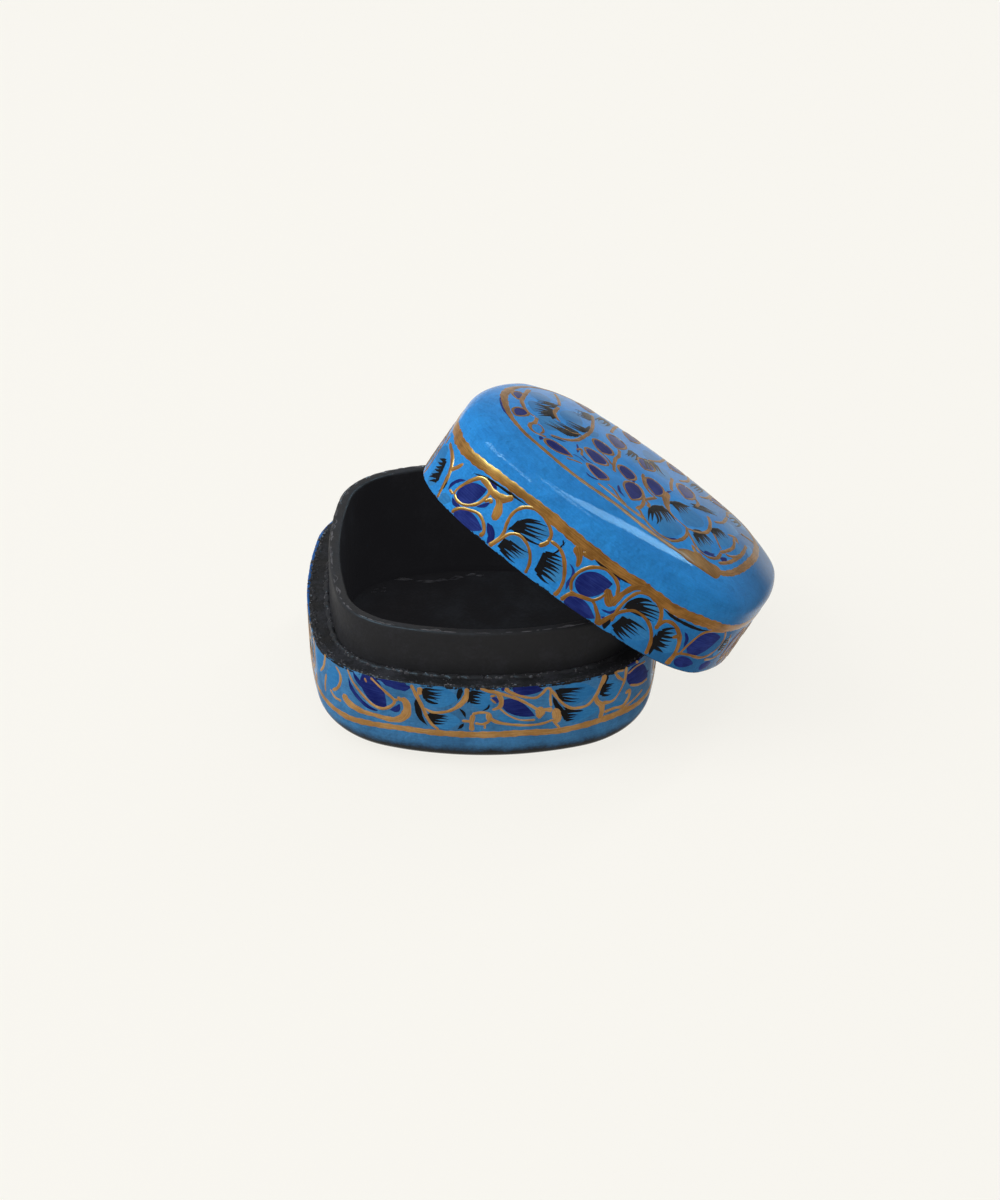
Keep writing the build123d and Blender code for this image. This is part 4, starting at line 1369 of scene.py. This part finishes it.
# The same hand fills the sides that face away: one length of garland, from the open edge inwards.
WALL_GARLAND = (38, -38)  # where it starts and ends, from the middle of the near end
SKIRT_GARLAND = (47, -35)
GARLAND_LENGTH = 22.0
GARLAND = {
    "petals": ((3.6, 5.6, 7, 4.6, 52), (6.4, 1.2, 6.6, 3, 6)),
    "feathers": ((12.2, 6.8, 7, 4.2, 34), (12.2, 2.6, 6.4, 4.4, 18), (18, 4.2, 6.8, 4.2, 80)),
    "navy": (((0.4, 0.9, 0.5), 0.2, 4.6, 0.6, 7, 2.8, 8.6), ((0.4, 0.8, 0.4), 5.4, 3.2, 7, 4.8, 7.4, 6.8)),
    "combs": (
        ((9.4, 4.4, 10.4, 7.4), (14, 5.2, 14.6, 8), 6), ((9.2, 0.7, 10.2, 3.9), (12.8, 0.7, 13.6, 3.8), 6),
        ((16.2, 6, 16.1, 1.2), (19.6, 5.8, 18.8, 1.3), 7),
    ),
    "gold": (
        (0.6, 0.8, 3, 2.4, 2.6, 4.8, 4, 6.6, 6.6, 6, 8.6, 3.8, 8.6, 1.6, 6.4, 0.8, 3),
        ((0.9, 0.65, 0.65, 0.8), 8, 0.4, 8.4, 4, 9.2, 7.2, 11, 8.7, 13.4, 8.6, 15.2, 7, 14.9, 5.4),
        (0.65, 8.4, 0.6, 9.6, 3.6, 12, 4.9, 14.2, 3.8, 15.3, 0.5),
        ((0.7, 0.8, 0.7, 0.9), 15.4, 6.4, 16.8, 7.8, 18.8, 7.4, 20.4, 5, 20.9, 2.2, 20.5, 0.4),
        (0.65, 1.2, 1.4, 3.6, 2.4, 6.4, 3, 8, 1.6), ((1.4, 1.4, 1), 6.9, 8.8, 7.5, 7.2, 7.3, 5.2),
        ((0.9, 0.8), 6.9, 7.2, 8.6, 8.2), ((1.4, 1), 20.9, 8.9, 21.6, 7.2),
    ),
}


def garland(layers, start, finish, place, turn):
    """Repeats the garland from start to finish. Place turns along and depth into the surface's own pair."""
    count = max(int(round((finish - start) / GARLAND_LENGTH)), 1)
    stretch = (finish - start) / count / GARLAND_LENGTH
    for repeat in range(count):
        shift = start + repeat * GARLAND_LENGTH * stretch
        layers.paint(GARLAND, lambda point, shift=shift: place(shift + point[0] * stretch, point[1]), turn)


# ---- Operators ----


class PAPER_OT_base_shell(bpy.types.Operator):
    """Make the moulded base: rounded foot, wall, bare ledge and floor."""

    bl_idname = "papier_mache.base_shell"
    bl_label = "Base shell"

    def execute(self, context):
        box = Box()
        sizes = box.sizes
        reach = sizes.corner - sizes.flat_corner
        sink = sizes.ground_depth
        foot_in = float(base_side(sizes, 0.0)[0])
        turns = np.radians(np.linspace(4, 84, 11))
        heights = np.concatenate([sizes.foot_radius * (1 - np.cos(turns)),
                                  np.linspace(sizes.foot_radius, sizes.ledge_height - sizes.edge, 14)])
        shell = Shell(box)
        shell.stretch([(reach, -sink)] + line((reach, -sink), (foot_in, -sink), 5), 1)
        shell.stretch([(float(base_side(sizes, height)[0]), height) for height in heights], 0)
        ledge_middle = (sizes.edge + 0.00002, sizes.ledge_height - sizes.edge)
        shell.stretch(arc(ledge_middle, sizes.edge, 12, 50, 3), 0, 0.6)
        shell.stretch(arc(ledge_middle, sizes.edge, 65, 90, 2), 1, 1.0)
        corner = (sizes.ledge_width, sizes.ledge_height)
        foot = (sizes.ledge_width, sizes.floor_thickness)
        shell.stretch(line((ledge_middle[0], sizes.ledge_height), corner, 9), 1, 1.0)
        shell.stretch(line(corner, foot, 4), 1)
        shell.stretch(line(foot, (reach, sizes.floor_thickness), 8), 2)
        finishes = ("sky_ground_base", "black_ledge", "black_inside_painted_light")
        piece, flat = shell.build("base_body", finishes, "base", "base_shell", discs=(False, True))
        inset = box.outline.inset(flat[:, 0], flat[:, 1])[0]
        on_top = flat[:, 2] > sizes.ledge_height - sizes.edge
        add_values(piece.data, "to_edge", np.where(on_top, inset, sizes.ledge_height - flat[:, 2]))
        add_values(piece.data, "to_foot", flat[:, 2])
        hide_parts("base_shell")
        return {"FINISHED"}


class PAPER_OT_inner_collar(bpy.types.Operator):
    """Make the stiff paper band inside the base, with its worn edge."""

    bl_idname = "papier_mache.inner_collar"
    bl_label = "Inner collar"

    def execute(self, context):
        box = Box()
        sizes = box.sizes
        outer, inner = sizes.ledge_width, sizes.ledge_width + sizes.collar_thickness
        top, low, edge = sizes.collar_top, sizes.floor_thickness, sizes.collar_edge
        shell = Shell(box)
        shell.stretch([(outer, low)] + line((outer, low), (outer, sizes.ledge_height), 4), 0)
        shell.stretch(line((outer, sizes.ledge_height), (outer, top - edge), 9), 0, 0.3)
        shell.stretch(arc((outer + edge, top - edge), edge, 15, 90, 5), 0, RIM_LUMPS)
        shell.stretch(arc((inner - edge, top - edge), edge, 90, 165, 5), 0, RIM_LUMPS)
        shell.stretch([(inner, top - edge)] + line((inner, top - edge), (inner, low), 14), 1, 0.2)
        finishes = ("black_collar", "black_inside_painted_light")
        piece, flat = shell.build("collar_band", finishes, "base", "inner_collar", closed=True)
        inset = box.outline.inset(flat[:, 0], flat[:, 1])[0]
        from_corner = np.minimum(np.abs(inset - outer - edge / 2), np.abs(inset - inner + edge / 2))
        add_values(piece.data, "to_edge", from_corner + np.maximum(top - edge / 2 - flat[:, 2], 0))
        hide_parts("inner_collar")
        return {"FINISHED"}


class PAPER_OT_lid_shell(bpy.types.Operator):
    """Make the lid: skirt, rounded shoulder, pillow-shaped top and black hollow."""

    bl_idname = "papier_mache.lid_shell"
    bl_label = "Lid shell"

    def execute(self, context):
        box = Box()
        sizes = box.sizes
        shoulder_z, bow_z, reach = lid_levels(sizes)
        inner_bow = sizes.top_bow - sizes.roof_thickness
        inner_top = bow_z + math.sqrt(inner_bow**2 - (reach - sizes.lid_wall) ** 2)
        underside = sizes.lid_height - sizes.roof_thickness
        meet = math.degrees(math.atan2(shoulder_z - bow_z, reach - sizes.shoulder))
        wall, edge = sizes.lid_wall, sizes.edge
        shell = Shell(box)
        roof_edge = (wall + 1.6 * MM, inner_top + 0.3 * MM)
        shell.stretch([(reach, underside)] + line((reach, underside), roof_edge, 9), 1)
        shell.stretch(line((wall + 0.5 * MM, inner_top - 0.5 * MM), (wall, inner_top - 1.6 * MM), 3), 1)
        shell.stretch(line((wall, inner_top - 1.6 * MM), (wall, edge), 12), 1, 0.2)
        shell.stretch(arc((wall - edge, edge), edge, 195, 255, 4), 1, 0.4)
        shell.stretch(arc((edge, edge), edge, -90, -45, 3), 1, 0.4)
        shell.stretch(arc((edge, edge), edge, -25, 0, 2), 0, 0.2)
        shell.stretch(line((0, edge), (0, shoulder_z), 20), 0)
        shell.stretch(arc((sizes.shoulder, shoulder_z), sizes.shoulder, meet / 9, meet, 9), 0)
        shell.stretch(arc((reach, bow_z), sizes.top_bow, meet, 90, 24)[1:], 0)
        finishes = ("sky_ground_lid", "black_inside_painted_light")
        piece, flat = shell.build("lid_body", finishes, "lid", "lid_shell", discs=(False, True), tilted=True)
        add_values(piece.data, "to_edge", flat[:, 2])
        add_values(piece.data, "to_foot", np.ones(len(flat)))
        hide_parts("lid_shell")
        return {"FINISHED"}


class PAPER_OT_base_painting(bpy.types.Operator):
    """Paint the base's wall: gold border, petals, feathers and scrolls that hang from the ledge."""

    bl_idname = "papier_mache.base_painting"
    bl_label = "Base painting"

    def execute(self, context):
        box = Box()
        top = box.sizes.ledge_height / MM
        highest = (top - 0.2) * MM
        layers = Layers(lambda along, height, lift: box.base_wall(along, np.minimum(height, highest), lift),
                        box.settings.seed + 20)
        round_box = box.outline.length / MM
        layers.line_round(round_box, BORDER, BORDER_WIDTH)
        layers.paint(WALL)
        first, last = WALL_GARLAND
        garland(layers, first, round_box + last, lambda along, depth: (along, top - depth), -1.0)
        layers.build("base", "base", "base_shell", "old_gold_paint")
        return {"FINISHED"}


class PAPER_OT_lid_painting(bpy.types.Operator):
    """Paint the lid's skirt under its broad gold band."""

    bl_idname = "papier_mache.lid_painting"
    bl_label = "Lid skirt painting"

    def execute(self, context):
        box = Box()
        layers = Layers(lambda along, height, lift: box.lid_wall(along, np.maximum(height, 0.15 * MM), lift),
                        box.settings.seed + 40)
        round_box = box.outline.length / MM
        layers.line_round(round_box, SKIRT_BAND, SKIRT_BAND_WIDTH)
        layers.paint(SKIRT)
        first, last = SKIRT_GARLAND
        garland(layers, first, round_box + last, lambda along, depth: (along, depth), 1.0)
        layers.build("skirt", "lid", "lid_shell")
        return {"FINISHED"}


class PAPER_OT_top_painting(bpy.types.Operator):
    """Paint the lid's top: gold ring round a field of petals and feathers."""

    bl_idname = "papier_mache.top_painting"
    bl_label = "Lid top painting"

    def execute(self, context):
        box = Box()
        layers = Layers(box.lid_roof, box.settings.seed + 60, TOP_OUTLINE_WIDTH)
        layers.gold.stroke(pairs(TOP_RING), TOP_RING_WIDTH, closed=True)
        layers.gold.blob(pairs(TOP_MASS))
        layers.paint(TOP)
        layers.build("top", "lid", "lid_shell", "dull_gold_paint")
        return {"FINISHED"}


class PAPER_OT_collar_wear(bpy.types.Operator):
    """Add the lumpy glue seam at the foot of the collar and the flecks on its edges, which are also painted
    glints.
    """

    bl_idname = "papier_mache.collar_wear"
    bl_label = "Collar seam and flecks"

    # The seam of glue and the blue paint spilt on the ledge.
    SEAM_RISE, SEAM_STEP, SEAM_WIDTH = 0.42, 1.1, (0.7, 1.5)
    SEAM_SWAY = 0.2  # how far it wanders, and how far it lies outside the collar
    SPILL_RISE, SPILL_WIDTH = 0.07, 0.5
    SPILL = (-88, 0.3, -76, 0.42, -62, 0.46, -52, 0.36, -44, 0.28)
    SCUFF_RISE, SCUFF_WIDTH, SCUFF_STROKES = 0.05, (0.4, 0.9), 4
    UNWORN = 0.0012  # how far from a rubbed edge, in metres, the seam and the crust count as

    # Rows of dashes: rise, inset, its spread, how many, shortest and longest, and width. The insets of
    # rim and seam start at the collar's outside, and the others at the outline.
    CRUST = (0.13, 0.85, 0.4, 300, (0.5, 2.0), 0.62)
    # The rim, seam and ledge dashes are flecks that also stand for painted glints; the dust row is dust.
    ROWS = {
        "rim": (0.035, 0.6, 0.07, 150, (0.6, 3.4), 0.26),
        "seam": (0.46, -0.3, 0.22, 260, (0.25, 1.3), 0.32),
        "ledge": (0.17, 0.7, 0.35, 360, (0.15, 0.7), 0.3),
        "dust": (0.14, 2.1, 1.2, 110, (0.12, 0.4), 0.12),
    }
    EDGE_ROOM = 0.15  # how near the dashes come to the ledge's edge
    RIM_ROOM = 0.42  # and to the collar's

    def execute(self, context):
        box = Box()
        seed = box.settings.seed
        chance = np.random.default_rng(seed + 80)
        round_box = box.outline.length / MM
        collar = box.sizes.ledge_width / MM
        seam = Paint(box.ledge, self.SEAM_RISE, seed + 81)
        spots = np.arange(0, round_box, self.SEAM_STEP)
        sway = self.SEAM_SWAY
        path = [(spot, collar - sway + chance.uniform(-sway, sway)) for spot in spots]
        path.append((round_box, path[0][1]))
        widths = chance.uniform(*self.SEAM_WIDTH, len(path))
        widths[-1] = widths[0]
        seam.stroke(path, widths)
        crust = self.dashes(box, chance, box.ledge, seed + 82, self.CRUST, self.EDGE_ROOM)
        for paint, name in ((seam, "collar_seam"), (crust, "ledge_crust")):
            mesh = paint.build(name, "black_collar", "base", "inner_collar")
            add_values(mesh, "to_edge", np.full(len(mesh.vertices), self.UNWORN))
        spill = Paint(box.ledge, self.SPILL_RISE, seed + 83)
        spill.stroke(pairs(self.SPILL), self.SPILL_WIDTH, taper=(0.3, 0.3))
        spill.build("ledge_spill", "shadow_paint", "base", "base_shell")
        for name, row in self.ROWS.items():
            skin, room = (box.ledge, self.EDGE_ROOM)
            if name == "rim":
                skin, room = (box.collar_rim, collar + self.RIM_ROOM)
            start = collar if name in ("rim", "seam") else 0.0
            flecks = self.dashes(box, chance, skin, seed + 90, row, room, start)
            flecks.build(f"{name}_flecks", "glue_flecks", "base", "inner_collar")
        self.scuffs_and_glints(box, chance)
        return {"FINISHED"}

    def dashes(self, box, chance, skin, seed, row, room, start=0.0):
        """Scatters short strokes round the box, none nearer to its outline than room."""
        rise, inset, spread, count, lengths, width = row
        inset = start + inset
        paint = Paint(skin, rise, seed)
        for _ in range(count):
            along = chance.uniform(0, box.outline.length / MM)
            across = inset + chance.normal() * spread
            length = chance.uniform(*lengths)
            slope = chance.normal() * 0.1
            wide = width * chance.uniform(0.6, 1.4)
            ends, middle = np.maximum((across, across + slope * length), wide / 2 + room)
            path = ((along, ends), (along + length / 2, middle), (along + length, ends))
            paint.stroke(path, wide, taper=(0.4, 0.4))
        return paint

    def scuffs_and_glints(self, box, chance):
        """Faint rubs on the black floor, which are also painted glints."""
        paint = Paint(box.floor, self.SCUFF_RISE, box.settings.seed + 95)
        for x, y, length in SCUFFS_AND_GLINTS:
            for _ in range(self.SCUFF_STROKES):
                start = np.array((x, y)) + chance.normal(size=2) * (0.8, 0.5)
                reach = np.array((length * chance.uniform(0.4, 1.0), chance.normal() * 0.3))
                path = (start - reach / 2, start + chance.normal(size=2) * 0.12, start + reach / 2)
                paint.stroke(path, chance.uniform(*self.SCUFF_WIDTH), taper=(0.45, 0.45))
        paint.build("floor_scuffs_and_glints", "glue_flecks", "base", "base_shell")


class PAPER_OT_stage(bpy.types.Operator):
    """Set the floor, the world, the lamps and the camera."""

    bl_idname = "papier_mache.stage"
    bl_label = "Stage"

    # Bright cards seen only in the varnish: name, direction in degrees, width and height in metres.
    CARDS = (
        ("left_card", (-90, 50), 0.5, 0.42),
        ("near_card", (-124, 57), 0.5, 0.3),
        ("top_card", (58, 60), 0.24, 0.3),
        ("window_card", (40, 31), 0.09, 0.64),
    )
    OVERHEAD = (-0.35, -0.25, 1.3)  # place of the large lamp
    AIM = (0.01, 0, 0.03)  # the point in the box that lamps and cards face

    def execute(self, context):
        studio = settings().studio
        scene = context.scene
        scene.view_settings.view_transform = "Standard"
        self.floor(studio)
        self.world(scene, studio)
        self.lamp("overhead_lamp", studio.overhead, self.OVERHEAD, (0, 0, 0), 1.1, 1.1)
        self.lamp("window_lamp", studio.window, self.spot(40, 44), (0.02, 0, 0.03), 0.07, 1.15)
        self.lamp("side_lamp", studio.side, self.spot(-101, 41), self.AIM, 0.95, 0.6)
        for name, (turn, height), width, tall in self.CARDS:
            watts = studio.cards * math.pi * width * tall
            self.lamp(name, watts, self.spot(turn, height), self.AIM, width, tall, gloss_only=True)
        self.camera(scene, studio)
        return {"FINISHED"}

    def spot(self, turn, height, distance=1.2):
        """A place round the box: turned clockwise from behind it, and up, in degrees."""
        turn, height = math.radians(turn), math.radians(height)
        level = math.cos(height) * distance
        return math.sin(turn) * level, math.cos(turn) * level, math.sin(height) * distance

    def seen(self, nodes):
        """1 where the camera, a reflection or a clear body looks, and 0 for light on other surfaces."""
        path = nodes.add("ShaderNodeLightPath").outputs
        mirrored = nodes.sum("MAXIMUM", path["Is Glossy Ray"], path["Is Transmission Ray"])
        return nodes.sum("MAXIMUM", path["Is Camera Ray"], mirrored)

    def floor(self, studio):
        """Large square floor under the box, which keeps a share of its own shading."""
        half = studio.floor_size / 2
        mesh = bpy.data.meshes.new("floor")
        corners = [(-half, -half, 0), (half, -half, 0), (half, half, 0), (-half, half, 0)]
        mesh.from_pydata(corners, [], [(0, 1, 2, 3)])
        material = bpy.data.materials.new("floor_paper")
        material.use_nodes = True
        nodes = Nodes(material.node_tree)
        backdrop = rgba(studio.backdrop)
        shader = material.node_tree.nodes["Principled BSDF"]
        nodes.fill(shader, {"Base Color": backdrop, "Roughness": 1.0, "Specular IOR Level": 0.0})
        glow = nodes.add("ShaderNodeEmission", {"Color": backdrop, "Strength": 1.0})
        share = nodes.times(self.seen(nodes), 1 - studio.shade)
        mix = nodes.add("ShaderNodeMixShader", {0: share, 1: shader.outputs[0], 2: glow.outputs[0]})
        nodes.fill(material.node_tree.nodes["Material Output"], {"Surface": mix.outputs[0]})
        mesh.materials.append(material)
        floor = show("floor", mesh)

    def world(self, scene, studio):
        """Even light from all round, which is seen as the pale backdrop."""
        world = bpy.data.worlds.new("studio")
        world.use_nodes = True
        nodes = Nodes(world.node_tree)
        strength = nodes.sum("MULTIPLY_ADD", self.seen(nodes), 1 - studio.world_light, studio.world_light)
        background = world.node_tree.nodes["Background"]
        nodes.fill(background, {"Color": rgba(studio.backdrop), "Strength": strength})
        scene.world = world

    def lamp(self, name, watts, place, target, width, height, gloss_only=False):
        """A rectangular lamp that points at the box."""
        light = bpy.data.lights.new(name, "AREA")
        light.shape = "RECTANGLE"
        light.size, light.size_y = width, height
        light.energy = watts
        if gloss_only:
            light.color = settings().studio.card_tint
        lamp = show(name, light)
        lamp.location = place
        lamp.visible_diffuse = not gloss_only
        lamp.visible_glossy = gloss_only or name == "overhead_lamp"
        aim = Vector(target) - Vector(place)
        lamp.rotation_euler = aim.to_track_quat("-Z", "Y").to_euler()

    def camera(self, scene, studio):
        """Camera round the point it looks at."""
        turn, height = studio.azimuth, studio.elevation
        right = Vector((math.cos(turn), math.sin(turn), 0))
        level = math.cos(height)
        back = Vector((math.sin(turn) * level, -math.cos(turn) * level, math.sin(height)))
        up = back.cross(right)
        side = right * math.cos(studio.roll) + up * math.sin(studio.roll)
        above = back.cross(side)
        place = right * studio.aim_right + Vector((0, 0, studio.aim_up)) + back * studio.distance
        data = bpy.data.cameras.new("camera")
        data.sensor_width = 36.0
        data.lens = studio.lens
        data.clip_start = 0.05
        scene.camera = show("camera", data)
        axes = Matrix((side, above, back)).transposed().to_4x4()
        scene.camera.matrix_world = Matrix.Translation(place) @ axes


class PAPER_PT_panel(bpy.types.Panel):
    """Lists the steps that make the box."""

    bl_idname = "PAPER_PT_panel"
    bl_label = "Papier mache box"
    bl_space_type = "VIEW_3D"
    bl_region_type = "UI"
    bl_category = "Papier mache"

    def draw(self, context):
        for operator in OPERATORS:
            self.layout.operator(operator.bl_idname)
        chosen = context.scene.papier_mache_box
        for group in (chosen.sizes, chosen.place, chosen.paints, chosen.studio):
            for name in group.__annotations__:
                self.layout.prop(group, name)


OPERATORS = (
    PAPER_OT_base_shell,
    PAPER_OT_inner_collar,
    PAPER_OT_lid_shell,
    PAPER_OT_base_painting,
    PAPER_OT_lid_painting,
    PAPER_OT_top_painting,
    PAPER_OT_collar_wear,
    PAPER_OT_stage,
)
GROUPS = (PAPER_PG_sizes, PAPER_PG_place, PAPER_PG_paints, PAPER_PG_studio, PAPER_PG_settings)


def register():
    for item in GROUPS + OPERATORS + (PAPER_PT_panel,):
        bpy.utils.register_class(item)
    bpy.types.Scene.papier_mache_box = PointerProperty(type=PAPER_PG_settings)


def unregister():
    del bpy.types.Scene.papier_mache_box
    for item in reversed(GROUPS + OPERATORS + (PAPER_PT_panel,)):
        bpy.utils.unregister_class(item)


def main():
    register()
    for operator in OPERATORS:
        group, name = operator.bl_idname.split(".")
        getattr(getattr(bpy.ops, group), name)()
    bpy.context.view_layer.update()


if __name__ == "__main__":
    main()
